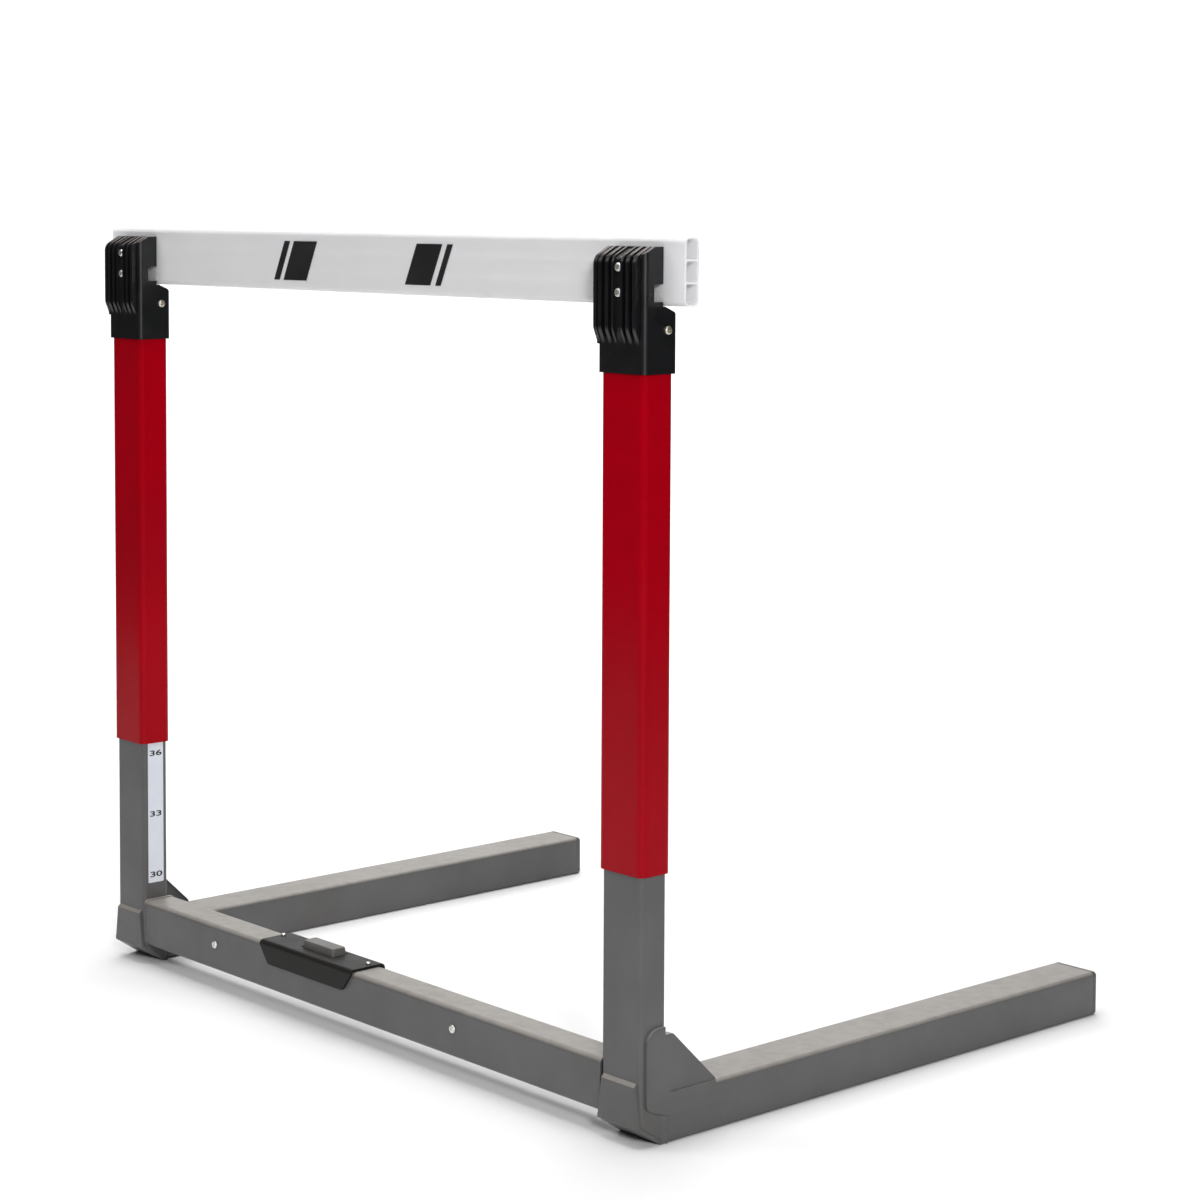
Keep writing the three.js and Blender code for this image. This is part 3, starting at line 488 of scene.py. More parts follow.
    def mend(self, merge: float) -> Shape:
        """Merges doubled vertices, closes open ends and turns the faces outwards.

        Args:
            merge: How close two vertices are that become one, in millimetres.

        Returns:
            The shape itself.
        """
        with self.picked("VERT", anywhere):
            bpy.ops.mesh.remove_doubles(threshold=merge * MM)
            bpy.ops.mesh.fill_holes(sides=0)
            bpy.ops.mesh.select_all(action="SELECT")
            bpy.ops.mesh.normals_make_consistent(inside=False)
        return self

    def _combine(self, other: Shape, operation: str) -> Shape:
        """Joins or cuts with another shape.

        Args:
            other: The other shape, which is used up.
            operation: DIFFERENCE or UNION.

        Returns:
            The shape itself.
        """
        settings = {"operation": operation, "solver": "EXACT", "object": other.piece}
        apply_modifier(self.piece, "BOOLEAN", **settings)
        other.discard()
        return self

    def carve(self, other: Shape) -> Shape:
        """Cuts another shape out of this one."""
        return self._combine(other, "DIFFERENCE")

    def drill(self, axis: Axis, radius: float, span: Span, centre: Vector) -> Shape:
        """Cuts a round hole between two ends on an axis, in millimetres."""
        return self.carve(self.place.bar("hole", axis, radius, span, centre))

    def add(self, other: Shape) -> Shape:
        """Joins another shape to this one."""
        return self._combine(other, "UNION")

    def gather(self, others: list[Shape]) -> Shape:
        """Takes shapes that don't touch this one into the same piece.

        Args:
            others: The other shapes, which are used up.

        Returns:
            The shape itself.
        """
        activate(self.piece)
        for other in others:
            other.piece.select_set(True)
        bpy.ops.object.join()
        return self

    def copy(self, name: str, matrix: Matrix) -> Shape:
        """Copies the shape, with a mesh of its own, and moves the copy.

        Args:
            name: The copy's name.
            matrix: The move, in the frame's metres.

        Returns:
            The copy.
        """
        activate(self.piece)
        bpy.ops.object.duplicate(linked=False)
        piece = bpy.context.object
        piece.matrix_world = matrix
        settle()
        return Shape(self.place, piece, name)

    def discard(self) -> None:
        """Removes a shape that was only a cutter or a pattern."""
        bpy.data.objects.remove(self.piece)

    def dress(self, finish: Finish, body: str, slot: str, *nodes: str) -> bpy.types.Object:
        """Finishes the piece: its shading, its material and what it rides on and stands for.

        Args:
            finish: The finish of its surface.
            body: The body that it moves with.
            slot: The record's material slot; not used.
            *nodes: The nodes that it stands for.

        Returns:
            The finished piece.
        """
        activate(self.piece)
        bpy.ops.object.shade_smooth_by_angle(angle=SMOOTH_ANGLE)
        apply_modifier(self.piece, "WEIGHTED_NORMAL", keep_sharp=True, weight=100)
        self.piece.data.materials.clear()
        self.piece.data.materials.append(finish.material())
        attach(self.piece, body)
        if nodes:
            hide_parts(*nodes)
        log.info("%s: %d faces, %s", self.piece.name, len(self.piece.data.polygons), body)
        return self.piece


def linear(colour: int) -> tuple[float, ...]:
    """Turns an sRGB colour to linear light.

    Args:
        colour: The colour as a hex number.

    Returns:
        Its linear red, green and blue, and full alpha.
    """
    low_limit, low_slope, offset, power = 0.04045, 12.92, 0.055, 2.4
    light = []
    for shift in (16, 8, 0):
        share = ((colour >> shift) & 255) / 255
        if share <= low_limit:
            light.append(share / low_slope)
        else:
            light.append(((share + offset) / (1 + offset)) ** power)
    return (*light, 1.0)


def add_node(
    tree: Tree,
    kind: str,
    values: dict[str | int, object] | None = None,
    links: dict[str | int, Socket] | None = None,
    **settings: object,
) -> bpy.types.Node:
    """Adds a node with its settings, its socket values and what is linked to it.

    Args:
        tree: The node tree.
        kind: The node's type.
        values: Values of input sockets by name or number.
        links: Sockets that feed its inputs, by name or number.
        **settings: The node's own settings.

    Returns:
        The node.
    """
    node = tree.nodes.new(kind)
    for name, value in settings.items():
        setattr(node, name, value)
    for socket, value in (values or {}).items():
        node.inputs[socket].default_value = value
    for socket, source in (links or {}).items():
        tree.links.new(source, node.inputs[socket])
    return node


MIX_FACTOR, MIX_A, MIX_B, MIX_RESULT = 0, 6, 7, 2
# Where a noise pattern begins to show and where it is full: for patches, and for dusty specks and
# painted top light
PATCH_BAND: Span = (0.35, 0.65)
SPECK_BAND: Span = (0.3, 0.6)
# How much the relief sways the roughness, where a patch counts as 1
RELIEF_SWAY = 0.5


@dataclass(frozen=True)
class Finish:
    """A surface: two shades in soft patches, a roughness that varies and a fine relief.

    Attributes:
        name: The material's name.
        colour: Its sRGB colour.
        shade: The sRGB colour of its patches.
        roughness: Its middle roughness.
        patch: The size of a patch in millimetres.
        spread: How far the roughness strays from its middle.
        grain: The distance between the bumps of the relief in millimetres.
        relief: The depth of the relief in millimetres.
        metallic: 1 on bare metal.
        ior: The index of refraction.
        specular: The level of the mirrored light.
        depth: How far light wanders under the surface, in millimetres; 0 where it doesn't.
    """

    name: str
    colour: int
    shade: int
    roughness: float
    patch: float = 60
    spread: float = 0.05
    grain: float = 1.5
    relief: float = 0.02
    metallic: float = 0
    ior: float = 1.5
    specular: float = 0.5
    depth: float = 0

    def height(self, tree: Tree, where: Socket) -> Socket:
        """The relief of the surface from 0 to 1, on object coordinates."""
        values = {"Scale": 1 / (self.grain * MM), "Detail": 2.0, "Roughness": 0.5}
        return add_node(tree, "ShaderNodeTexNoise", values, {"Vector": where}).outputs["Fac"]

    def tint(self, tree: Tree, where: Socket, colour: Socket) -> Socket:
        """The colour with what a finish has on top of its patches, which here is nothing."""
        return colour

    def material(self) -> bpy.types.Material:
        """Builds the finish once and hands out the same material after that.

        Returns:
            The material.
        """
        known = bpy.data.materials.get(self.name)
        if known:
            return known
        material = bpy.data.materials.new(self.name)
        material.use_nodes = True
        tree = material.node_tree
        shader = tree.nodes["Principled BSDF"]
        where = add_node(tree, "ShaderNodeTexCoord").outputs["Object"]
        patches = add_node(
            tree,
            "ShaderNodeTexNoise",
            {"Scale": 1 / (self.patch * MM), "Detail": 5.0, "Roughness": 0.6},
            {"Vector": where},
        ).outputs["Fac"]
        shares = add_node(
            tree,
            "ShaderNodeMapRange",
            {"From Min": PATCH_BAND[0], "From Max": PATCH_BAND[1]},
            {"Value": patches},
        ).outputs["Result"]
        colour = add_node(
            tree,
            "ShaderNodeMix",
            {MIX_A: linear(self.colour), MIX_B: linear(self.shade)},
            {MIX_FACTOR: shares},
            data_type="RGBA",
        ).outputs[MIX_RESULT]
        height = self.height(tree, where)
        sway = add_node(
            tree,
            "ShaderNodeMath",
            {1: RELIEF_SWAY},
            {0: height, 2: shares},
            operation="MULTIPLY_ADD",
        ).outputs[0]
        low, high = reach(self.roughness, self.roughness, self.spread)
        roughness = add_node(
            tree,
            "ShaderNodeMapRange",
            {"From Max": 1 + RELIEF_SWAY, "To Min": low, "To Max": high},
            {"Value": sway},
        ).outputs["Result"]
        bump = add_node(
            tree,
            "ShaderNodeBump",
            {"Strength": 1.0, "Distance": self.relief * MM},
            {"Height": height},
        ).outputs["Normal"]
        tinted = self.tint(tree, where, colour)
        for socket, source in (("Base Color", tinted), ("Roughness", roughness), ("Normal", bump)):
            tree.links.new(source, shader.inputs[socket])
        values = {"Metallic": self.metallic, "IOR": self.ior, "Specular IOR Level": self.specular}
        if self.depth:
            values["Subsurface Weight"] = 1.0
            values["Subsurface Radius"] = (1.0, 1.0, 1.0)
            values["Subsurface Scale"] = self.depth * MM
        for socket, value in values.items():
            shader.inputs[socket].default_value = value
        return material


@dataclass(frozen=True)
class Dusted(Finish):
    """A surface whose upward faces look dusty and paler, with painted top light where light from
    above falls.

    Attributes:
        dust: The sRGB colour that dusty upward faces get, painted top light included.
        dust_share: How much of an upward face it covers.
        dust_grain: The size of its specks in millimetres.
        dust_film: The least share of it between the specks.
        dust_slope: How far up a face looks where it begins, and where it is full.
    """

    dust: int = 0x7A706A
    dust_share: float = 0.6
    dust_grain: float = 1.2
    dust_film: float = 0.0
    dust_slope: Span = (0.55, 0.95)

    def tint(self, tree: Tree, where: Socket, colour: Socket) -> Socket:
        """Makes the faces that look up dusty and paler, with painted top light.

        Args:
            tree: The material's node tree.
            where: Object coordinates.
            colour: The colour so far.

        Returns:
            The socket that holds the colour.
        """
        # Painted top light, with dusty specks: the more a face looks up, the more of the paler
        # colour it gets
        normal = add_node(tree, "ShaderNodeNewGeometry").outputs["Normal"]
        up = add_node(tree, "ShaderNodeSeparateXYZ", None, {0: normal}).outputs["Z"]
        begins, full = self.dust_slope
        flat = add_node(
            tree,
            "ShaderNodeMapRange",
            {"From Min": begins, "From Max": full, "To Max": self.dust_share},
            {"Value": up},
        ).outputs["Result"]
        specks = add_node(
            tree,
            "ShaderNodeTexNoise",
            {"Scale": 1 / (self.dust_grain * MM), "Detail": 3.0},
            {"Vector": where},
        ).outputs["Fac"]
        begins, full = SPECK_BAND
        spread = add_node(
            tree,
            "ShaderNodeMapRange",
            {"From Min": begins, "From Max": full, "To Min": self.dust_film},
            {"Value": specks},
        ).outputs["Result"]
        factors = {0: flat, 1: spread}
        share = add_node(tree, "ShaderNodeMath", None, factors, operation="MULTIPLY").outputs[0]
        return add_node(
            tree,
            "ShaderNodeMix",
            {MIX_B: linear(self.dust)},
            {MIX_FACTOR: share, MIX_A: colour},
            data_type="RGBA",
        ).outputs[MIX_RESULT]


@dataclass(frozen=True)
class StrandedSteel(Finish):
    """Steel cable, whose strands lie across it at a steep angle.

    Attributes:
        lay: The distance from strand to strand along the cable in millimetres.
        fray: How uneven the strands are.
    """

    lay: float = 0.9
    fray: float = 0.4

    def height(self, tree: Tree, where: Socket) -> Socket:
        """Strands as bands across all three directions.

        Args:
            tree: The material's node tree.
            where: Object coordinates.

        Returns:
            The socket that holds the height from 0 to 1.
        """
        values = {"Scale": 1 / (self.lay * MM * math.tau), "Distortion": self.fray}
        bands = {"wave_type": "BANDS", "bands_direction": "DIAGONAL"}
        wave = add_node(tree, "ShaderNodeTexWave", values, {"Vector": where}, **bands)
        return wave.outputs["Fac"]


# Polyester powder coat on steel tube: a mid grey with a soft orange peel and a satin shine, its
# upward faces made paler by painted top light
POWDER_COAT = Dusted(
    "grey_powder_coat", 0x5A5A5B, 0x555453, 0.45, patch=90, grain=2.2, relief=0.025,
    specular=0.45, dust=0x98938C, dust_share=0.75, dust_grain=14, dust_film=0.75,
    dust_slope=(0.25, 0.7),
)
# Powder coat over a weld bead: the same grey on ripples that lie a bead's width apart, with the
# same painted top light on its upward faces
WELD_COAT = Dusted(
    "grey_powder_coat_on_weld", 0x5A5A5B, 0x545353, 0.5, patch=20, grain=3.4, relief=0.3,
    dust=0x98938C, dust_share=0.7, dust_grain=5, dust_film=0.6, dust_slope=(0.25, 0.7),
)
# Wet paint on steel tube: a deep red whose smooth top layer mirrors the room
RED_ENAMEL = Finish(
    "red_enamel", 0xA00012, 0x960010, 0.2, patch=160, grain=3.0, relief=0.004, specular=0.09
)
# Glass-filled nylon, injection moulded: black with a cool sheen, and paler fin tops that are partly
# dusty and partly painted top light
CAP_NYLON = Dusted(
    "black_moulded_nylon", 0x07080A, 0x090A0D, 0.36, patch=30, grain=0.9, relief=0.008
)
# Polyethylene tube end, injection moulded: dark grey and matt
FOOT_PLASTIC = Finish("grey_moulded_polyethylene", 0x565450, 0x504E4A, 0.5, patch=25, grain=1.1)
# Rigid PVC, extruded: white with fine drawing marks and a soft shine
BOARD_VINYL = Finish(
    "white_extruded_pvc", 0xEEEEF1, 0xEAEAED, 0.34, patch=220, grain=5.0, relief=0.012,
    specular=0.3, depth=6,
)
# Screen-printed ink on the board: a satin black film
BOARD_INK = Finish("black_screen_ink", 0x161617, 0x1C1C1E, 0.45, grain=0.8, relief=0.008)
# Black powder coat on folded sheet: satin, with a fine texture
COVER_COAT = Finish(
    "black_powder_coat", 0x171615, 0x1C1B19, 0.5, patch=18, grain=1.0, specular=0.2
)
# ABS, injection moulded: a warm grey with a spark-eroded texture
BUTTON_ABS = Finish("grey_moulded_abs", 0x63615E, 0x5E5C59, 0.5, patch=14, grain=0.8)
# Zinc plate on steel: bright, slightly warm, with a cloudy roughness
ZINC_PLATE = Finish(
    "zinc_plated_steel", 0xECEBE8, 0xD8D6D0, 0.42, patch=3, spread=0.06, grain=0.7,
    relief=0.01, metallic=1,
)
# Yellow chromate over zinc: a brassy tint
BRASS_PLATE = Finish(
    "yellow_zinc_plate", 0xE9E4D6, 0xD6CFBB, 0.38, patch=3, spread=0.06, grain=0.7,
    relief=0.01, metallic=1,
)
# Cold-drawn steel without paint: dark, with a dull shine
DRAWN_STEEL = Finish(
    "cold_drawn_steel", 0x6B6A68, 0x545351, 0.42, patch=12, spread=0.1, grain=0.8, metallic=1
)
# Cast iron: dark and rough, with a sand-cast skin
CAST_IRON = Finish(
    "cast_iron", 0x4A4744, 0x3B3937, 0.62, patch=15, spread=0.1, grain=1.2, relief=0.12,
    metallic=1,
)
# Galvanised steel cable: bright strands
CABLE_STEEL = StrandedSteel(
    "galvanised_cable", 0xB9B7B0, 0x97958E, 0.32, patch=4, relief=0.15, metallic=1
)
# Natural nylon, machined: an off-white with faint tool marks
NATURAL_NYLON = Finish("natural_nylon", 0xD8D4C8, 0xCFCABC, 0.5, patch=10, grain=0.6)
# Vinyl film with a printed face: cool white and smooth
LABEL_FILM = Finish(
    "white_vinyl_film", 0xDDE1E9, 0xD7DBE4, 0.4, patch=40, grain=2.0, relief=0.004
)


def middle_place() -> Place:
    """The ground point in the middle between the posts' fronts."""
    return Place(Vector((0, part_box("post_left")[0].y, 0)))


def side_place(side: Side) -> Place:
    """The ground point under the middle of a post's front."""
    low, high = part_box(f"post_{side.word}")
    return Place(Vector(((low.x + high.x) / 2, low.y, 0)), side.value)


def gate_place(side: Side) -> Place:
    """The point over the middle of a post's front, at the board's top edge."""
    board_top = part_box("board")[1].z
    return Place(side_place(side).origin + Vector((0, 0, board_top)), side.value)


@dataclass
class Assembly:
    """A sub-assembly of the hurdle.

    Attributes:
        place: Where its millimetres are counted from.
    """

    place: Place = field(init=False)

    def __post_init__(self) -> None:
        """Puts the sub-assembly's place in the middle of the hurdle."""
        self.place = middle_place()

    def span(self, node: str) -> Box:
        """The lowest and the highest corner of a node, in millimetres from the place."""
        pairs = list(zip(*(self.place.local(corner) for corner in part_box(node))))
        return Vector([min(pair) for pair in pairs]), Vector([max(pair) for pair in pairs])

    def middle(self, node: str) -> Vector:
        """The middle of a node, in millimetres from the place."""
        return sum(self.span(node), Vector()) / 2


@dataclass
class SideAssembly(Assembly):
    """A sub-assembly of one side, counted from under the middle of the post's front.

    Attributes:
        side: Which side is built.
    """

    side: Side

    def __post_init__(self) -> None:
        """Puts the sub-assembly's place on its side."""
        self.place = side_place(self.side)

    def name(self, kind: str) -> str:
        """The name of the side's piece of a kind."""
        return f"{self.side.word}_{kind}"

    def node(self, kind: str) -> str:
        """The name of the side's node of a kind."""
        return f"{kind}_{self.side.word}"

    def own(self, kind: str) -> Box:
        """The lowest and the highest corner of the side's node of a kind."""
        return self.span(self.node(kind))


@dataclass
class FrameSide(SideAssembly):
    """One side of the frame: post, toe plate, corner plate, leg and leg cap.

    Attributes:
        wall: The post's wall.
        corner: The radius of the post's corners.
        axle_hole: The radius of the holes for the sheaves' axles and the cam's pin.
        slot_rim: The room round the lever in its slot.
        slot_round: The radius of the slot's corners.
        window: The width of the window for the cable.
        toe_sheet: The toe plate's thickness.
        toe_bend: The height where the toe plate bends back.
        toe_round: How far the rounding of that bend reaches.
        toe_run: How far back the toe plate runs.
        toe_top: The width of the toe plate's top.
        toe_edge: The width of its broken edges.
        leg_wall: The leg's wall.
        leg_corner: The radius of the leg's corners.
        lip: The length of the leg cap's lip.
        lip_round: The radius of the lip's rim.
        plug: The length of the leg cap's plug in the leg.
        plug_wall: The plug's wall.
        cheek: Half the height of the plug's cheeks beside the sheave.
    """

    wall: float = 1.6
    corner: float = 5.0
    axle_hole: float = 2.8
    slot_rim: float = 3.0
    slot_round: float = 1.0
    window: float = 8.0
    toe_sheet: float = 4.0
    toe_bend: float = 21.0
    toe_round: float = 1.6
    toe_run: float = 31.6
    toe_top: float = 49.0
    toe_edge: float = 0.35
    leg_wall: float = 2.0
    leg_corner: float = 5.0
    lip: float = 7.7
    lip_round: float = 4.0
    plug: float = 14.0
    plug_wall: float = 1.6
    cheek: float = 12.0

    def toe_line(self, y: float, inside: float) -> float:
        """The height of the toe plate's slope.

        Args:
            y: The depth where it is asked for.
            inside: How far in from the slope's outer face.

        Returns:
            The height in millimetres.
        """
        slope = math.atan2(self.toe_bend, self.toe_run)
        outer = self.toe_bend - (y + self.toe_sheet) * math.tan(slope)
        return outer + inside / math.cos(slope)

    def slope_point(self, inside: float) -> Vector:
        """A point of the toe plate's slope, a distance in from its outer face."""
        return Vector((0, 0, self.toe_line(0, inside)))

    @property
    def below_slope(self) -> Vector:
        """The way out of the toe plate's slope, forwards and down."""
        return Vector((0, -self.toe_bend, -self.toe_run))

    def post(self) -> None:
        """Builds the post: a tube cut to the toe plate's slope, with its openings."""
        low, high = self.own("post")
        tube = self.place.box(self.name("post"), Vector((low.x, low.y, 0)), high)
        tube.round(Axis.Z, self.corner)
        tube.slice(self.slope_point(self.toe_sheet + GAP), self.below_slope, closes=False)
        tube.hollow(self.wall, UP)
        inner = reach(low.x, low.x + self.wall)
        for sheave in ("top_sheave", "outer_sheave", "inner_sheave"):
            tube.drill(Axis.X, self.axle_hole, inner, self.middle(self.node(sheave)))
        pin = self.middle(self.node("cam_pin"))
        tube.drill(Axis.Y, self.axle_hole, reach(low.y, high.y), pin)
        lever_low, lever_high = self.own("release_lever")
        rim = self.slot_rim
        depth = reach(lever_low.y, lever_high.y, rim / 2)
        height = (lever_low.z - rim, lever_high.z + FootRelease.travel + rim)
        tube.carve(self.place.block("slot", inner, depth, height).round(Axis.X, self.slot_round))
        sheave_low, sheave_high = self.own("inner_sheave")
        cable_low, cable_high = self.own("cable")
        line = (cable_low.x + cable_high.x) / 2
        width = reach(line, line, self.window / 2)
        height = (sheave_low.z - self.toe_bend, sheave_high.z)
        tube.carve(self.place.block("window", width, reach(high.y - self.wall, high.y), height))
        tube.dress(POWDER_COAT, "frame", "frame_grey", self.node("post"))

    def toe_plate(self) -> None:
        """Builds the bent plate under the post's front."""
        low, high = self.own("toe_plate")
        half = (high.x - low.x) / 2
        wide, front = (-half, half), -self.toe_sheet
        plate = self.place.block(
            self.name("toe_plate"), wide, (front, -GAP), (self.toe_bend, high.z)
        )
        narrow = Vector((self.toe_top / 2 / half, 1, 1))
        plate.scale(narrow, Vector((0, 0, high.z)), lambda p: near(p.z, high.z))
        chamfer = Vector((0, 0, GAP - self.toe_sheet))
        plate.shift(chamfer, lambda p: near(p.z, high.z) and near(p.y, front))
        height = (0, self.toe_line(front, self.toe_sheet))
        foot = self.place.block("toe", wide, (front, high.y), height)
        foot.slice(self.slope_point(0), self.below_slope)
        foot.slice(self.slope_point(self.toe_sheet), -self.below_slope)
        plate.add(foot)
        plate.round(
            Axis.X,
            self.toe_round,
            lambda p: near(p.y, front) and abs(p.z - self.toe_bend) < CLOSE,
            steps=5,
        )
        plate.soften(self.toe_edge)
        plate.dress(POWDER_COAT, "frame", "frame_grey", self.node("toe_plate"))

    def leg(self) -> None:
        """Builds the leg: a tube with rolled corners."""
        tube = self.place.box(self.name("leg"), *self.own("leg"))
        tube.round(Axis.Y, self.leg_corner).hollow(self.leg_wall, FRONT, BACK)
        tube.dress(POWDER_COAT, "frame", "frame_grey", self.node("leg"))

    def leg_cap(self) -> None:
        """Builds the plug in the leg's far end, with its rounded lip and its cheeks."""
        low, high = self.own("leg_cap")
        plug_front = self.own("leg")[1].y - self.plug
        lip_front = high.y - self.lip
        lip = self.place.box(self.name("leg_cap"), Vector((low.x, lip_front, low.z)), high)
        lip.round(Axis.Y, self.leg_corner)
        lip.round_rim(BACK, self.lip_round, steps=6)
        inset = self.leg_wall + GAP
        width, height = reach(low.x, high.x, -inset), reach(low.z, high.z, -inset)
        plug_back = lip_front + self.plug_wall
        plug = self.place.block("plug", width, (plug_front, plug_back), height)
        plug.round(Axis.Y, self.leg_corner - inset)
        inset += self.plug_wall
        width, height = reach(low.x, high.x, -inset), reach(low.z, high.z, -inset)
        plug.carve(self.place.block("room", width, (plug_front - OVERRUN, lip_front), height))
        lip.add(plug)
        sheave_low, sheave_high = self.own("end_sheave")
        middle = (sheave_low + sheave_high) / 2
        half = (sheave_high.x - sheave_low.x) / 2 + GAP
        height = reach(middle.z, middle.z, self.cheek)
        for face in (-1, 1):
            outer = middle.x + face * half
            ends = (outer - face * self.plug_wall, outer)
            lip.add(self.place.block("cheek", ends, (low.y, plug_back), height))
        lip.drill(Axis.X, self.axle_hole, reach(middle.x - half, middle.x + half), middle)
        lip.dress(FOOT_PLASTIC, "frame", "foot_grey", self.node("leg_cap"))

    def build(self) -> None:
        """Builds the side's pieces in order."""
        self.post()
        self.toe_plate()
        CornerPlate(self.side).build()
        self.leg()
        self.leg_cap()
        Welds(self.side).build()


@dataclass
class Welds(SideAssembly):
    """The weld beads of one side: round the crossbar's end, and between the post and the leg.

    Attributes:
        throat: How far a bead stands out from what it joins.
        run: How far a bead runs along the crossbar.
        fill: How far a bead reaches into the corner between the post and the leg.
    """

    throat: float = 1.2
    run: float = 3.4
    fill: float = 7.0

    def round_the_bar(self) -> Shape:
        """Builds the bead round the crossbar's end.

        Returns:
            The bead.
        """
        low, high = self.span("crossbar")
        inner_face = self.own("post")[0].x
        ends = (inner_face - self.run, inner_face)
        depth, height = reach(low.y, high.y, self.throat), reach(low.z, high.z, self.throat)
        bead = self.place.block(self.name("bar_weld"), ends, depth, height)
        bead.round(Axis.X, Crossbar.corner + self.throat)
        bead.round_rim(IN, self.throat, steps=4)
        inside = self.place.block("bar", reach(*ends), (low.y, high.y), (low.z, high.z))
        return bead.carve(inside.round(Axis.X, Crossbar.corner))

    def behind_the_post(self) -> Shape:
        """Builds the two beads that close the corners between the post and the leg.

        Returns:
            Both beads as one shape.
        """
        post_high = self.own("post")[1]
        leg_low, leg_high = self.own("leg")
        depth = (post_high.y - self.fill, leg_low.y + GAP)
        height = (leg_low.z + 2 * GAP, leg_high.z - GAP)
        ends = (leg_high.x - GAP - self.fill, leg_high.x - GAP)
        outer = self.place.block(self.name("leg_weld"), ends, depth, height)
        start = Vector((post_high.x - GAP, depth[0] + GAP, 0))
        slant = Vector((leg_high.x - GAP, leg_low.y - GAP, 0)) - start
        outer.slice(start, Vector((slant.y, -slant.x, 0)))
        ends = (leg_low.x + GAP, leg_low.x + self.fill)
        return outer.gather([self.place.block("inner", ends, depth, height)])

    def build(self) -> None:
        """Builds the beads."""
        for bead in (self.round_the_bar(), self.behind_the_post()):
            bead.dress(WELD_COAT, "frame", "frame_grey")


@dataclass
class CornerPlate(SideAssembly):
    """The pressed plate that ties a post to its leg.

    Attributes:
        low_front: The height of its lower edge at the front.
        web_top: The height of the web's top.
        web_flat: The length of the web's flat top.
        web_end: How far the web stands over the leg at its far end.
        web_inset: How far the web lies behind the flange's face.
        web_depth: How far the web's folded rim goes in.
        crease: The width of the step from flange to web.
        top_round: The radius of the arc over the post.
        foot_round: The radius of its lower far corner.
        corner: The radius of its other corners.
        tuck: How far the flange's top ends before the post's back.
        sheet: The thickness of the web's sheet.
        slope: The width of the slope round the flange.
        bulge: The height of that slope.
        edge: The width of its broken edges.
    """

    low_front: float = 40.0
    web_top: float = 113.0
    web_flat: float = 6.0
    web_end: float = 2.5
    web_inset: float = 1.7
    web_depth: float = 7.0
    crease: float = 1.3
    top_round: float = 18.0
    foot_round: float = 15.0
    corner: float = 4.0
    tuck: float = 4.0
    sheet: float = 1.6
    slope: float = 3.8
    bulge: float = 1.4
    edge: float = 0.5

    def build(self) -> None:
        """Builds the flange from one sheet, sinks the web behind it and softens the creases."""
        place = self.place
        low, high = self.own("corner_plate")
        leg_low, leg_high = self.own("leg")
        post_high = self.own("post")[1]
        flange_face = post_high.x + NEAR
        flange_corner = Vector((high.x - self.bulge, high.y, high.z))
        plate = place.box(
            self.name("corner_plate"), Vector((flange_face, low.y, low.z)), flange_corner
        )
        leg_front = leg_low.y
        fall = Vector((0, leg_front - low.y, low.z - self.low_front))
        plate.slice(Vector((0, low.y, self.low_front)), Vector((0, fall.z, -fall.y)))
        tip = Vector((0, leg_front + self.web_flat, self.web_top))
        end = Vector((0, high.y, leg_high.z + self.web_end))
        brace = end - tip
        over_brace = Vector((0, -brace.z, brace.y))
        plate.slice(tip, over_brace)
        shoulder = (post_high.y - self.tuck, high.y)
        above = (self.web_top, high.z + OVERRUN)
        plate.carve(place.block("over", reach(flange_face, high.x), shoulder, above))

        def at_end(p: Vector) -> bool:
            """Says whether a point lies at the web's far end."""
            return p.y > leg_front + CLOSE and p.z > end.z - CLOSE

        def at_foot(p: Vector) -> bool:
            """Says whether a point lies at the flange's lower far corner."""
            return p.y > high.y - CLOSE and p.z < low.z + CLOSE

        def at_toe(p: Vector) -> bool:
            """Says whether a point lies at the flange's lower front corner."""
            return p.y < low.y + CLOSE and p.z < self.low_front + CLOSE

        plate.round(Axis.X, self.top_round, lambda p: p.y < low.y + CLOSE and p.z > self.web_top)
        plate.round(Axis.X, self.foot_round, at_foot)
        plate.round(Axis.X, self.corner, at_end, steps=4)
        plate.round(Axis.X, self.corner, at_toe, steps=4)
        plate.emboss(OUT, self.slope, self.bulge)
        behind = (leg_front - GAP, high.y + OVERRUN)
        height = (low.z - OVERRUN, leg_high.z + GAP)
        plate.carve(place.block("leg_room", (0, leg_high.x + GAP), behind, height))
        web_face = high.x - self.web_inset
        behind = (leg_front + self.crease, high.y + OVERRUN)
        height = (leg_high.z + self.crease, high.z + OVERRUN)
        plate.carve(place.block("web_room", (web_face, high.x + OVERRUN), behind, height))
        rim = web_face - self.web_depth
        height = (leg_high.z + GAP, self.web_top)
        web = place.block("web", (rim, web_face), (leg_front, high.y), height)
        web.slice(tip, over_brace)
        web.round(Axis.X, self.corner / 2, at_end, steps=4)
        hollow = place.block(
            "hollow",
            (rim - OVERRUN, web_face - self.sheet),
            (leg_front + self.sheet, high.y - self.sheet),
            (leg_high.z - OVERRUN, self.web_top - self.sheet),
        )
        hollow.slice(tip - over_brace.normalized() * self.sheet, over_brace)
        plate.add(web.carve(hollow))
        plate.soften(self.edge, steps=3, angle=35)
        plate.dress(POWDER_COAT, "frame", "frame_grey", self.node("corner_plate"))


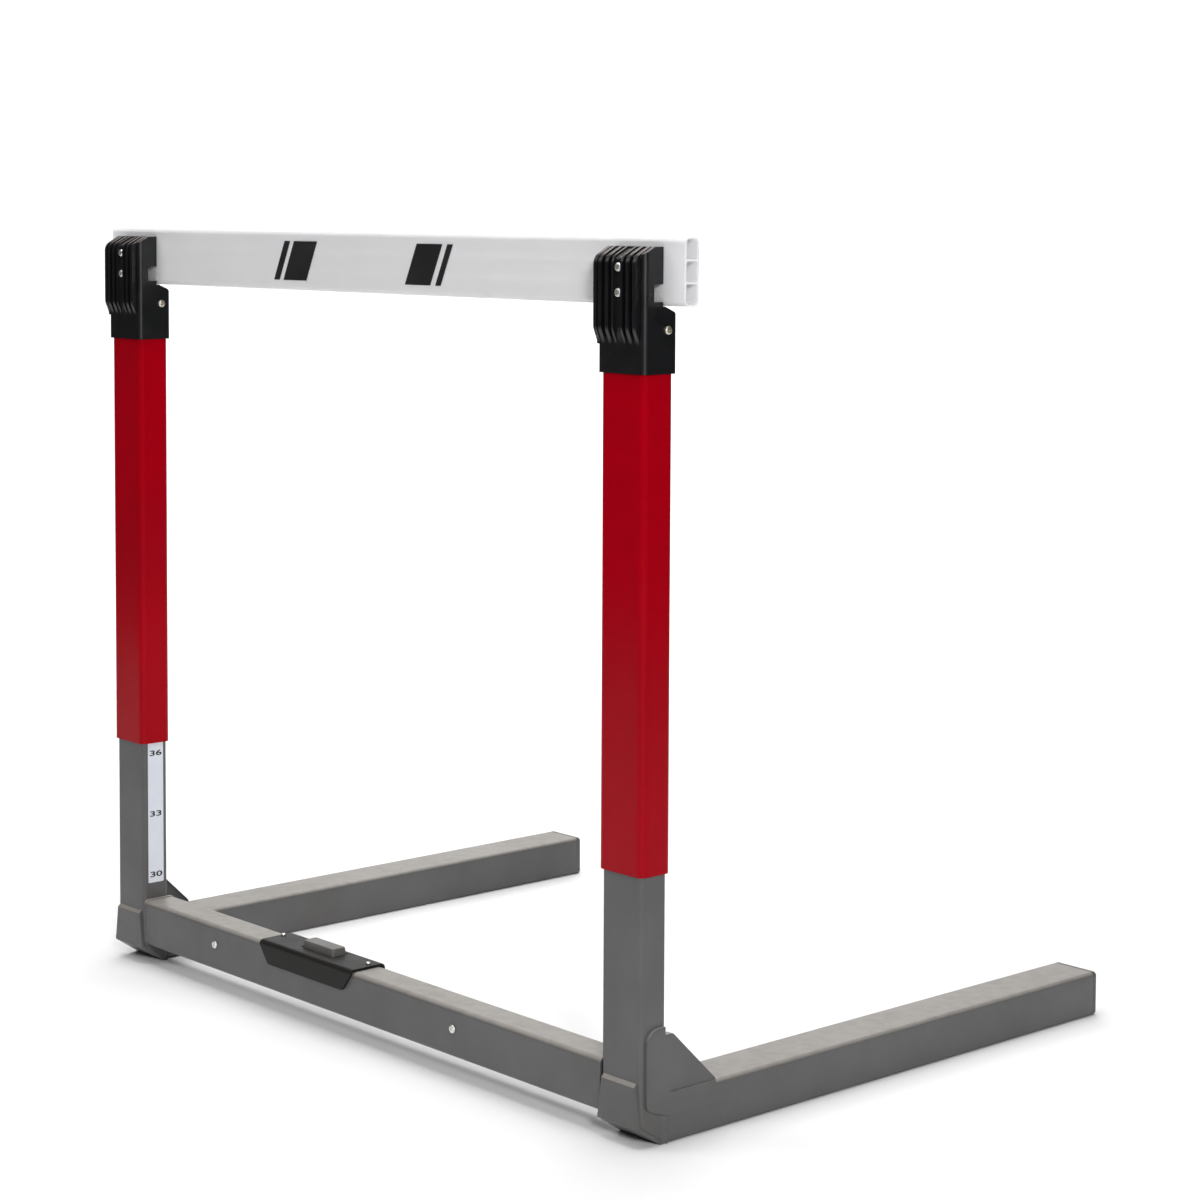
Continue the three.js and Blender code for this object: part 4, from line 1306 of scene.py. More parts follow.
@dataclass
class HeightScale(SideAssembly):
    """The film on a post's inner face, with the heights in inches.

    Attributes:
        corner: The radius of the film's corners.
        figures: The heights that are printed, from the lowest.
        first: The height of the lowest figure's middle over the film's lower end.
        pitch: The distance from figure to figure.
        figure_height: The height of a figure.
        stretch: How much wider the figures are than the plain letters.
        weight: How much bolder they are, as a share of their height.
        ink: The thickness of the ink.
    """

    corner: float = 1.5
    figures: tuple[int, ...] = (30, 33, 36, 39, 42)
    first: float = 9.9
    pitch: float = 76.2
    figure_height: float = 7.0
    stretch: float = 1.95
    weight: float = 0.022
    ink: float = 0.08

    def figure(self, value: int, at: Vector) -> None:
        """Prints one figure on the film.

        Args:
            value: The height in inches.
            at: The figure's middle on the film's face, in metres.
        """
        upright = Matrix(((0, 0, 1), (1, 0, 0), (0, 1, 0))).to_euler()
        bpy.ops.object.select_all(action="DESELECT")
        bpy.ops.object.text_add(rotation=upright)
        piece = bpy.context.object
        piece.data.body = str(value)
        piece.data.align_x = "CENTER"
        piece.data.align_y = "CENTER"
        piece.data.extrude = self.ink * MM / 2
        piece.data.offset = self.weight
        bpy.context.view_layer.update()
        size = self.figure_height * MM / piece.dimensions.y
        piece.data.extrude /= size
        piece.scale = (size * self.stretch, size, size)
        piece.location = at + Vector((self.ink * MM / 2, 0, 0))
        bpy.ops.object.convert(target="MESH")
        settle()
        shape = Shape(self.place, piece, f"height_figure_{value}").mend(self.ink / 10)
        shape.dress(BOARD_INK, "frame", "cap_black")

    def build(self) -> None:
        """Builds the film and its figures."""
        low, high = self.span("height_scale")
        film = self.place.box("height_film", low, high).round(Axis.X, self.corner, steps=4)
        film.dress(LABEL_FILM, "frame", "label_white", "height_scale")
        for i, value in enumerate(self.figures):
            height = low.z + self.first + i * self.pitch
            self.figure(value, self.place.at(low.x, (low.y + high.y) / 2, height))


@dataclass
class Crossbar(Assembly):
    """The tube between the posts and the pins of the levers in it.

    Attributes:
        wall: The tube's wall.
        corner: The radius of its corners.
        pin_hole: The radius of the holes for the lever pins.
        pin_radius: The radius of a lever pin.
        head: The height of a pin's head.
        dimple: The radius of the dimple in a pin's head.
    """

    wall: float = 1.6
    corner: float = 6.0
    pin_hole: float = 3.3
    pin_radius: float = 3.0
    head: float = 2.4
    dimple: float = 1.3

    def build(self, release: FootRelease) -> None:
        """Builds the tube with its openings, and its pins.

        Args:
            release: The foot release, which knows where the pedal and its rivets are.
        """
        low, high = self.span("crossbar")
        tube = self.place.box("crossbar_tube", low, high)
        tube.round(Axis.X, self.corner).hollow(self.wall, IN, OUT)
        top = reach(high.z - self.wall, high.z)
        tube.carve(release.opening(top))
        for middle in release.rivet_middles():
            tube.drill(Axis.Z, release.rivet_hole, top, middle)
        pins = [f"lever_pin_{side.word}" for side in Side]
        for node in pins:
            tube.drill(Axis.Y, self.pin_hole, reach(low.y, high.y), self.middle(node))
        tube.dress(POWDER_COAT, "frame", "frame_grey", "crossbar")
        for node in pins:
            self.pin(node)

    def pin(self, node: str) -> None:
        """Builds a pin, whose domed head has a dimple in the middle.

        Args:
            node: The pin's node.
        """
        low, high = self.span(node)
        centre, radius = (low + high) / 2, (high.x - low.x) / 2
        seat = low.y + self.head
        pin = self.place.bar(f"{node}_piece", Axis.Y, radius, (low.y, seat), centre)
        pin.round_rim(FRONT, self.head * DOME, steps=6)
        shank = (seat - EMBED, high.y)
        pin.add(self.place.bar("shank", Axis.Y, self.pin_radius, shank, centre))
        pin.drill(Axis.Y, self.dimple, (low.y - OVERRUN, low.y + self.head / 2), centre)
        pin.dress(ZINC_PLATE, "frame", "bright_steel", node)


@dataclass
class FootRelease(Assembly):
    """The pedal in the crossbar, its spring and the folded cover over it.

    Attributes:
        head: The length and the depth of the pedal's head.
        head_crown: How far the head's top stands over the plain block of the part.
        head_corner: The radius of the head's corners.
        head_rim: The radius of its upper rim.
        taper: How much smaller the top is at each side.
        lip_height: The height of the end lips under the crossbar's top.
        foot: The half length of the foot on the levers.
        sheet: The cover's thickness.
        bend: The outer radius of its bends.
        back_flange: The height of its flange behind.
        slant: How much shorter the front flange is at its lower edge, at each end.
        flange_corner: How far the rounding of its lower corners reaches.
        edge: The width of its broken edges.
        room: The room round the pedal in the openings.
        travel: How far the pedal goes down.
        wire: The radius of the spring's wire.
        wire_sides: How many sides the wire has.
        spring_turns: How many turns the spring has.
        rivet: The radius of a rivet's shank.
        rivet_hole: The radius of the holes for the rivets.
        rivet_head: The height of a rivet's head.
        mandrel: The radius of the hole that a rivet's mandrel leaves.
    """

    head: Span = (60.0, 21.0)
    head_crown: float = 2.5
    head_corner: float = 3.5
    head_rim: float = 1.2
    taper: float = 1.4
    lip_height: float = 4.0
    foot: float = 8.0
    sheet: float = 3.0
    bend: float = 5.5
    back_flange: float = 10.5
    slant: float = 16.5
    flange_corner: float = 2.5
    edge: float = 0.5
    room: float = 0.9
    travel: float = 5.0
    wire: float = 0.8
    wire_sides: int = 12
    spring_turns: int = 5
    rivet: float = 1.6
    rivet_hole: float = 1.9
    rivet_head: float = 2.2
    mandrel: float = 0.8

    def centre(self) -> Vector:
        """The middle of the pedal's head, in millimetres."""
        low, high = self.span("pedal_button")
        return Vector(((low.x + high.x) / 2, high.y - self.head[1] / 2, high.z))

    def rivet_middles(self) -> list[Vector]:
        """The middles of the cover's rivets, in millimetres."""
        return [self.middle(f"cover_rivet_{side.word}") for side in Side]

    def opening(self, height: Span) -> Shape:
        """Makes a cutter for the pedal's opening.

        Args:
            height: The lowest and highest Z of the cutter.

        Returns:
            The cutter.
        """
        centre = self.centre()
        width, depth = (size / 2 + self.room for size in self.head)
        across = reach(centre.x, centre.x, width)
        return self.place.block("opening", across, reach(centre.y, centre.y, depth), height)

    def cover(self) -> None:
        """Builds the cover: a folded sheet with a slanted flange in front."""
        low, high = self.span("pedal_cover")
        bend_end = high.z - self.bend
        cover = self.place.box("cover_sheet", low, high)
        cover.round(Axis.X, self.bend, lambda p: near(p.z, high.z))
        cover.hollow(self.sheet, IN, OUT, DOWN)
        behind = reach(high.y - self.sheet, high.y)
        height = (low.z - OVERRUN, high.z - self.back_flange)
        cover.carve(self.place.block("behind", reach(low.x, high.x), behind, height))
        front = reach(low.y, low.y + self.sheet)
        rise = bend_end - low.z
        for face, end in ((-1, low.x), (1, high.x)):
            across = (end - face * self.slant, end + face * OVERRUN)
            wedge = self.place.block("wedge", across, front, (low.z - OVERRUN, bend_end))
            wedge.slice(Vector((end, 0, bend_end)), Vector((-face * rise, 0, self.slant)))
            cover.carve(wedge)
        cover.round(Axis.Y, self.flange_corner, lambda p: near(p.z, low.z), steps=5)
        cover.carve(self.opening((bend_end, high.z + OVERRUN)))
        for middle in self.rivet_middles():
            cover.drill(Axis.Z, self.rivet_hole, reach(high.z - self.sheet, high.z), middle)
        cover.soften(self.edge, steps=3)
        cover.dress(COVER_COAT, "frame", "cover_black", "pedal_cover")

    def rivets(self) -> None:
        """Builds the two blind rivets that hold the cover."""
        for side in Side:
            node = f"cover_rivet_{side.word}"
            low, high = self.span(node)
            centre, radius = (low + high) / 2, (high.x - low.x) / 2
            seat = high.z - self.rivet_head
            rivet = self.place.bar(f"{node}_piece", Axis.Z, radius, (seat, high.z), centre)
            rivet.round_rim(UP, self.rivet_head * DOME, steps=6)
            shank = (low.z, seat + self.rivet_head / 2)
            rivet.add(self.place.bar("shank", Axis.Z, self.rivet, shank, centre))
            rivet.drill(Axis.Z, self.mandrel, (seat, high.z + OVERRUN), centre)
            rivet.dress(ZINC_PLATE, "frame", "bright_steel", node)

    def button(self) -> None:
        """Builds the pedal: a head with a slanted rim, its end lips and its foot."""
        low, high = self.span("pedal_button")
        lever_front = self.span("release_lever_left")[0].y
        cover_top = self.span("pedal_cover")[1].z
        centre = self.centre()
        x, y = (size / 2 for size in self.head)
        across, depth = reach(centre.x, centre.x, x), reach(centre.y, centre.y, y)
        lip_top = self.span("crossbar")[1].z - Crossbar.wall - GAP
        head_low = lip_top - self.lip_height / 2
        head_top = high.z + self.head_crown
        button = self.place.block("pedal_head", across, depth, (head_low, head_top))
        button.round(Axis.Z, self.head_corner)
        button.score(Vector((0, 0, cover_top)), Axis.Z)
        top = Vector((1 - self.taper / x, 1 - self.taper / y, 1))
        button.scale(top, Vector((centre.x, centre.y, head_top)), lambda p: near(p.z, head_top))
        button.round_rim(UP, self.head_rim, steps=5)
        lips = (lip_top - self.lip_height, lip_top)
        button.add(self.place.block("lips", (low.x, high.x), depth, lips))
        across = reach(centre.x, centre.x, self.foot)
        depth = (lever_front, centre.y + self.foot)
        button.add(self.place.block("foot", across, depth, (low.z, head_low + EMBED)))
        button.dress(BUTTON_ABS, "pedal", "button_grey", "pedal_button")

    def spring(self) -> None:
        """Winds the spring, which rides on the pedal as one piece."""
        low, high = self.span("pedal_spring")
        radius = (high.x - low.x) / 2 - self.wire
        rise = high.z - low.z - 2 * self.wire
        steps = self.spring_turns * ROUND_STEPS // 2
        bpy.ops.object.select_all(action="DESELECT")
        bpy.ops.mesh.primitive_circle_add(
            vertices=self.wire_sides,
            radius=self.wire * MM,
            location=(radius * MM, 0, 0),
            rotation=(math.pi / 2, 0, 0),
        )
        piece = bpy.context.object
        settle()
        apply_modifier(
            piece,
            "SCREW",
            angle=2 * math.pi * self.spring_turns,
            screw_offset=rise * MM,
            steps=steps,
            render_steps=steps,
        )
        spring = Shape(self.place, piece, "pedal_spring_coil").mend(self.wire / 10)
        middle = (low + high) / 2
        piece.location = self.place.at(middle.x, middle.y, low.z + self.wire)
        settle()
        piece = spring.dress(DRAWN_STEEL, "pedal", "bright_steel", "pedal_spring")
        tuple(self.place.at(middle.x, middle.y, high.z))
        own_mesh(piece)

    def build(self) -> None:
        """Builds the cover, its rivets, the pedal and its spring."""
        self.cover()
        self.rivets()
        self.button()
        self.spring()


@dataclass
class Board(Assembly):
    """The board: a white extrusion with three chambers and printed stripes.

    Attributes:
        wall: The thickness of its walls.
        chambers: How many chambers it has.
        corner: The radius of its outer corners.
        chamber_corner: The radius of the chambers' corners.
        edge: The width of its broken edges.
        stripe_rise: The lowest and highest Z of the stripes over the board's lower edge.
        stripes: The two ends of each stripe's top along the board.
        stripe_slant: How far a stripe's bottom lies to the left of its top.
        stripe_round: How far the rounding of a stripe's corners reaches.
        ink: The thickness of the ink.
    """

    wall: float = 2.2
    chambers: int = 3
    corner: float = 6.0
    chamber_corner: float = 1.5
    edge: float = 0.3
    stripe_rise: Span = (11.6, 56.6)
    stripes: tuple[Span, ...] = ((-150.6, -139.6), (-132.1, -87.1), (96.3, 141.1), (149.6, 159.2))
    stripe_slant: float = 21.0
    stripe_round: float = 0.4
    ink: float = 0.08

    def extrusion(self) -> None:
        """Builds the extrusion, with soft corners along its length and crisp ends."""
        low, high = self.span("board")
        board = self.place.box("board_extrusion", low, high).round(Axis.X, self.corner)
        room = high.z - low.z - (self.chambers + 1) * self.wall
        depth = (low.y + self.wall, high.y - self.wall)
        for i in range(self.chambers):
            floor = low.z + self.wall + i * (room / self.chambers + self.wall)
            ceiling = floor + room / self.chambers
            chamber = self.place.block("chamber", reach(low.x, high.x), depth, (floor, ceiling))
            outer = {0: floor, self.chambers - 1: ceiling}.get(i)
            for edge in (floor, ceiling):
                radius = self.corner - self.wall if edge == outer else self.chamber_corner
                chamber.round(Axis.X, radius, lambda p, edge=edge: near(p.z, edge), steps=5)
            board.carve(chamber)
        front = reach(low.y, low.y + self.wall)
        for side in Side:
            for kind in ("lower_board_screw", "upper_board_screw"):
                middle = self.middle(f"{kind}_{side.word}")
                board.drill(Axis.Y, Screws.hole, front, middle)
        board.soften(self.edge, angle=50)
        board.dress(BOARD_VINYL, "gate", "board_white", "board")

    def print_stripes(self) -> None:
        """Prints the slanting stripes on the board's front."""
        low = self.span("board")[0]
        foot, top = (low.z + rise for rise in self.stripe_rise)
        film = (low.y - self.ink, low.y)
        for i, ends in enumerate(self.stripes):
            stripe = self.place.block(f"board_stripe_{i + 1}", ends, film, (foot, top))
            stripe.shift(IN * self.stripe_slant, lambda p: near(p.z, foot))
            stripe.round(Axis.Y, self.stripe_round, steps=2)
            stripe.dress(BOARD_INK, "gate", "cap_black")

    def build(self) -> None:
        """Builds the extrusion and its stripes."""
        self.extrusion()
        self.print_stripes()


@dataclass
class Cap(SideAssembly):
    """The moulded cap that joins a sleeve to the board, with fins beside its screws.

    Heights are counted from the board's top edge.

    Attributes:
        wall: The cap's wall.
        corner: The radius of its corners in plan.
        ledge: The height of the ledge under the board.
        ledge_flat: The length of the ledge's flat part.
        ledge_run: The length of its slanting part.
        ledge_fall: How far the slanting part falls.
        back_fall: How far the ledge has fallen at the cap's back.
        ceiling: The thickness over the sleeve's room.
        top: The height of its flat top.
        top_flat: The length of the flat top.
        top_fall: How far the top falls to the front.
        plate_back: Where the plate behind the fins ends.
        notch: The depth and the height of the notch in the plate.
        notch_low: The height of the notch's lower edge.
        fins: The left and the right of each fin.
        channel: Half the width of the channel in the middle, between two fins.
        channel_rise: How far its floor stands out from the cap.
        channel_round: The radius at the front top of its floor.
        fin_foot: The height where the fins begin, over the cap's lower edge.
        fin_curve: The height of their S curve.
        fin_top: The radius at their front top.
        groove: How deep the top lies between the fins.
        edge: The width of its broken edges.
        low: The cap's lowest corner.
        high: The cap's highest corner.
        front: The depth of its front behind the fins.
    """

    wall: float = 2.0
    corner: float = 6.0
    ledge: float = -69.3
    ledge_flat: float = 2.9
    ledge_run: float = 13.0
    ledge_fall: float = 5.6
    back_fall: float = 9.0
    ceiling: float = 11.1
    top: float = -10.4
    top_flat: float = 11.0
    top_fall: float = 7.6
    plate_back: float = 19.9
    notch: Span = (12.0, 18.0)
    notch_low: float = -64.9
    fins: tuple[Span, ...] = (
        (-34.5, -29.8),
        (-27.8, -22.7),
        (-17.5, -12.7),
        (-8.0, -5.2),
        (5.2, 8.0),
        (12.7, 17.5),
        (22.7, 27.8),
    )
    channel: float = 5.2
    channel_rise: float = 2.4
    channel_round: float = 1.5
    fin_foot: float = 28.5
    fin_curve: float = 19.0
    fin_top: float = 7.0
    groove: float = 2.4
    edge: float = 0.45
    low: Vector = field(init=False)
    high: Vector = field(init=False)
    front: float = field(init=False)

    def __post_init__(self) -> None:
        """Puts the cap's place on the gate and reads its box and the depth of its front."""
        self.place = gate_place(self.side)
        self.low, self.high = self.own("cap")
        self.front = self.own("sleeve")[0].y - GAP - self.wall

    @property
    def top_slant(self) -> Vector:
        """The way out of the slanting top, forwards and up."""
        return Vector((0, -self.top_fall, self.plate_back - self.top_flat - self.front))

    @property
    def top_edge(self) -> Vector:
        """A point of the edge where the flat top begins to fall."""
        return Vector((0, self.plate_back - self.top_flat, self.top))

    def socket(self) -> Shape:
        """Builds the lower part, whose ledge falls away behind the board.

        Returns:
            The lower part.
        """
        across, height = (self.low.x, self.high.x), (self.low.z, self.ledge)
        socket = self.place.block("socket", across, (self.front, self.high.y), height)
        socket.round(Axis.Z, self.corner)
        bend = Vector((0, self.plate_back + self.ledge_flat, self.ledge))
        socket.slice(bend, Vector((0, self.ledge_fall, self.ledge_run)))
        knee = bend + Vector((0, self.ledge_run, -self.ledge_fall))
        end = Vector((0, self.high.y, self.ledge - self.back_fall))
        fall = end - knee
        return socket.slice(knee, Vector((0, -fall.z, fall.y)))

    def plate(self) -> Shape:
        """Builds the upper part in front of the board, with a sunk top between its rims.

        Returns:
            The upper part.
        """
        across, depth = (self.low.x, self.high.x), (self.front, self.plate_back)
        plate = self.place.block("plate", across, depth, (self.ledge - self.wall, self.top))
        plate.round(Axis.Z, self.corner, lambda p: near(p.y, self.front))
        plate.slice(self.top_edge, self.top_slant)
        between = (self.fins[0][1] - NEAR, -self.fins[0][1])
        height = (self.ledge, self.top + OVERRUN)
        drop = Vector((0, 0, self.groove))
        for back, below in (
            (self.plate_back + OVERRUN, DOWN),
            (self.plate_back - self.top_flat, -self.top_slant),
        ):
            sunk = self.place.block("sunk", between, (self.front - OVERRUN, back), height)
            plate.carve(sunk.slice(self.top_edge - drop, below))
        return plate

    def fin(self, ends: Span, rise: float, sunk: float, top_round: float) -> Shape:
        """Builds one fin, with its S curve at the foot and its round top.

        Args:
            ends: The fin's left and right.
            rise: How far it stands out from the cap.
            sunk: How far its top lies under the cap's top.
            top_round: The radius at its front top.

        Returns:
            The fin.
        """
        curve_top = self.low.z + self.fin_foot + self.fin_curve
        face = self.front - rise
        edge = self.top_edge - Vector((0, 0, sunk))
        fin = self.place.block("fin", ends, (face, self.plate_back), (curve_top, edge.z))
        fin.slice(edge, self.top_slant)
        fin.round(Axis.X, top_round, lambda p: near(p.y, face) and p.z > curve_top + CLOSE)
        fin.shift(
            Vector((0, self.front + self.corner - self.plate_back, 0)),
            lambda p: near(p.z, curve_top) and near(p.y, self.plate_back),
        )
        steps = CORNER_STEPS
        for k in range(steps):
            back = [rise / 2 * (1 - math.cos(math.pi * share / steps)) for share in (k, k + 1)]
            fin.extrude(Vector((0, back[1] - back[0], -self.fin_curve / steps)), DOWN)
        return fin

    def screw_holes(self, cap: Shape) -> None:
        """Drills the holes for the board's screws and for the screw in the cap's side.

        Args:
            cap: The cap.
        """
        for kind in ("lower_board_screw", "upper_board_screw"):
            low, high = self.own(kind)
            through = (low.y, self.plate_back + OVERRUN)
            cap.drill(Axis.Y, Screws.hole, through, (low + high) / 2)
        middle = self.middle(self.node("outer_cap_screw"))
        cap.drill(Axis.X, Screws.hole, reach(self.low.x, self.high.x), middle)

    def build(self) -> None:
        """Builds the cap once and copies it to the other side."""
        cap = self.socket()
        cap.add(self.plate())
        channel = (-self.channel - NEAR, self.channel + NEAR)
        cap.add(self.fin(channel, self.channel_rise, self.groove + NEAR, self.channel_round))
        rise = self.front - self.low.y
        first, *others = [self.fin(ends, rise, NEAR, self.fin_top) for ends in self.fins]
        cap.add(first.gather(others))
        across = reach(self.low.x, self.high.x)
        depth, height = self.notch
        behind = (self.plate_back - depth, self.plate_back + OVERRUN)
        between = (self.notch_low, self.notch_low + height)
        cap.carve(self.place.block("notch", across, behind, between))
        inner = self.high.x - self.wall
        depth = (self.front + self.wall, self.high.y - self.wall)
        height = (self.low.z - OVERRUN, self.ledge - self.ceiling)
        room = self.place.block("room", (-inner, inner), depth, height)
        cap.carve(room.round(Axis.Z, self.corner - self.wall))
        self.screw_holes(cap)
        cap.soften(self.edge)
        to_left = side_place(Side.LEFT).origin - side_place(Side.RIGHT).origin
        left = cap.copy("left_cap", Matrix.Translation(to_left))
        cap.piece.name = cap.piece.data.name = "right_cap"
        cap.dress(CAP_NYLON, "gate", "cap_black", "cap_right")
        left.dress(CAP_NYLON, "gate", "cap_black", "cap_left")


@dataclass
class Sleeve(SideAssembly):
    """The painted tube that runs on a post.

    Attributes:
        wall: The tube's wall.
        corner: The radius of its corners.
    """

    wall: float = 1.7
    corner: float = 7.5

    def __post_init__(self) -> None:
        """Puts the sleeve's place on the gate."""
        self.place = gate_place(self.side)

    def build(self) -> None:
        """Builds the tube, with the hole for the screw in the cap's side."""
        low, high = self.own("sleeve")
        tube = self.place.box(self.name("sleeve"), low, high)
        tube.round(Axis.Z, self.corner).hollow(self.wall, UP, DOWN)
        middle = self.middle(self.node("outer_cap_screw"))
        tube.drill(Axis.X, Screws.hole, reach(low.x, high.x), middle)
        tube.dress(RED_ENAMEL, "gate", "gate_red", self.node("sleeve"))


@dataclass
class Screws(Assembly):
    """The pan-head screws of the caps, with cross recesses.

    Attributes:
        head: The height of a head.
        head_round: The radius of a head's rim.
        shank: The radius of a shank.
        hole: The radius of the holes for the screws.
        recess: The length, the width and the depth of each arm of the recess.
        recess_foot: The size of the recess at its bottom, as a share of its top.
    """

    head: float = 2.6
    head_round: float = 2.0
    shank: float = 2.0
    hole: float = 2.3
    recess: tuple[float, float, float] = (5.0, 1.1, 1.6)
    recess_foot: float = 0.6

    def screw(self, name: str, radius: float, length: float) -> Shape:
        """Builds a screw at the frame's origin, its head upwards.

        Args:
            name: The piece's name.
            radius: The radius of its head.
            length: The length of its shank.

        Returns:
            The screw.
        """
        origin, centre = Place(Vector()), Vector()
        screw = origin.bar(name, Axis.Z, radius, (0, self.head), centre)
        screw.round_rim(UP, self.head_round, steps=7)
        screw.add(origin.bar("shank", Axis.Z, self.shank, (-length, self.head / 2), centre))
        long, wide, deep = self.recess
        height = (self.head - deep, self.head + OVERRUN)
        narrow = Vector((self.recess_foot, self.recess_foot, 1))
        for arm in ((long, wide), (wide, long)):
            x, y = (size / 2 for size in arm)
            slot = origin.block("recess", (-x, x), (-y, y), height)
            slot.scale(narrow, centre, lambda p: p.z < self.head)
            screw.carve(slot)
        return screw

    def seat(self, node: str, way: Vector) -> Matrix:
        """The move that puts a screw in its seat.

        Args:
            node: The screw's node.
            way: The way that its head looks.

        Returns:
            The move, in the frame's metres.
        """
        low, high = self.span(node)
        seat = (low + high) / 2
        if way.y:
            seat.y = low.y + self.head
        else:
            seat.x = (high.x if way.x > 0 else low.x) - way.x * self.head
        turn = way.to_track_quat("Z", "Y").to_matrix().to_4x4()
        return Matrix.Translation(self.place.at(*seat)) @ turn

    def set_in(self, screw: Shape, finish: Finish, ways: dict[str, Vector]) -> None:
        """Copies a screw to its seats.

        Args:
            screw: The screw, which is used up.
            finish: The finish of the copies.
            ways: The way that the head looks, by node.
        """
        for node, way in ways.items():
            copy = screw.copy(f"{node}_piece", self.seat(node, way))
            copy.dress(finish, "gate", "bright_steel", node)
        screw.discard()

    def build(self) -> None:
        """Builds one screw of each length and sets its copies in."""
        low, high = self.span("lower_board_screw_right")
        size = high - low
        screw = self.screw("board_screw", size.x / 2, size.y - self.head)
        kinds = ("lower_board_screw", "upper_board_screw")
        ways = {f"{kind}_{side.word}": FRONT for side in Side for kind in kinds}
        self.set_in(screw, ZINC_PLATE, ways)
        low, high = self.span("inner_cap_screw_right")
        size = high - low
        screw = self.screw("cap_screw", size.y / 2, size.x - self.head)
        ways = {}
        for side in Side:
            for kind, sign in (("inner_cap_screw", -side.value), ("outer_cap_screw", side.value)):
                ways[f"{kind}_{side.word}"] = OUT * sign
        self.set_in(screw, BRASS_PLATE, ways)


@dataclass
class HiddenGear:
    """The nodes inside the tubes, which keep their meshes and get their finishes.

    Attributes:
        finishes: Each finish, with the starts of the names of the nodes that get it.
    """

    finishes: tuple[tuple[Finish, tuple[str, ...]], ...] = (
        (ZINC_PLATE, ("cam_pin",)),
        (DRAWN_STEEL, ("lock_bar", "release_lever", "lift_rod", "lock_cam", "rod_guide")),
        (CABLE_STEEL, ("cable",)),
        (CAST_IRON, ("counterweight",)),
        (NATURAL_NYLON, ("post_glide", "top_sheave", "outer_sheave", "inner_sheave", "end_sheave")),
    )

    def build(self, nodes: dict[str, bpy.types.Object]) -> None:
        """Gives every node that stays its finish.

        Args:
            nodes: The frame's nodes by name.
        """
        for name, node in nodes.items():
            for finish, starts in self.finishes:
                if name.startswith(starts):
                    node.data.materials.clear()
                    node.data.materials.append(finish.material())
                    log.info("%s: dressed in %s", name, finish.name)


@dataclass(frozen=True)
class Lamp:
    """A square soft light, placed by its turn from the camera's side.

    Attributes:
        name: The light's name.
        size: Its side in metres.
        power: Its power in watts.
        turn: Its turn round the hurdle from the camera's side, in degrees to the right.
        away: Its distance from the hurdle's middle along the ground, in metres.
        height: Its height in metres.
        aim: The distance and the height of what it points at, on the same turn.
    """

    name: str
    size: float
    power: float
    turn: float
    away: float
    height: float
    aim: Span = (0.0, 0.4)


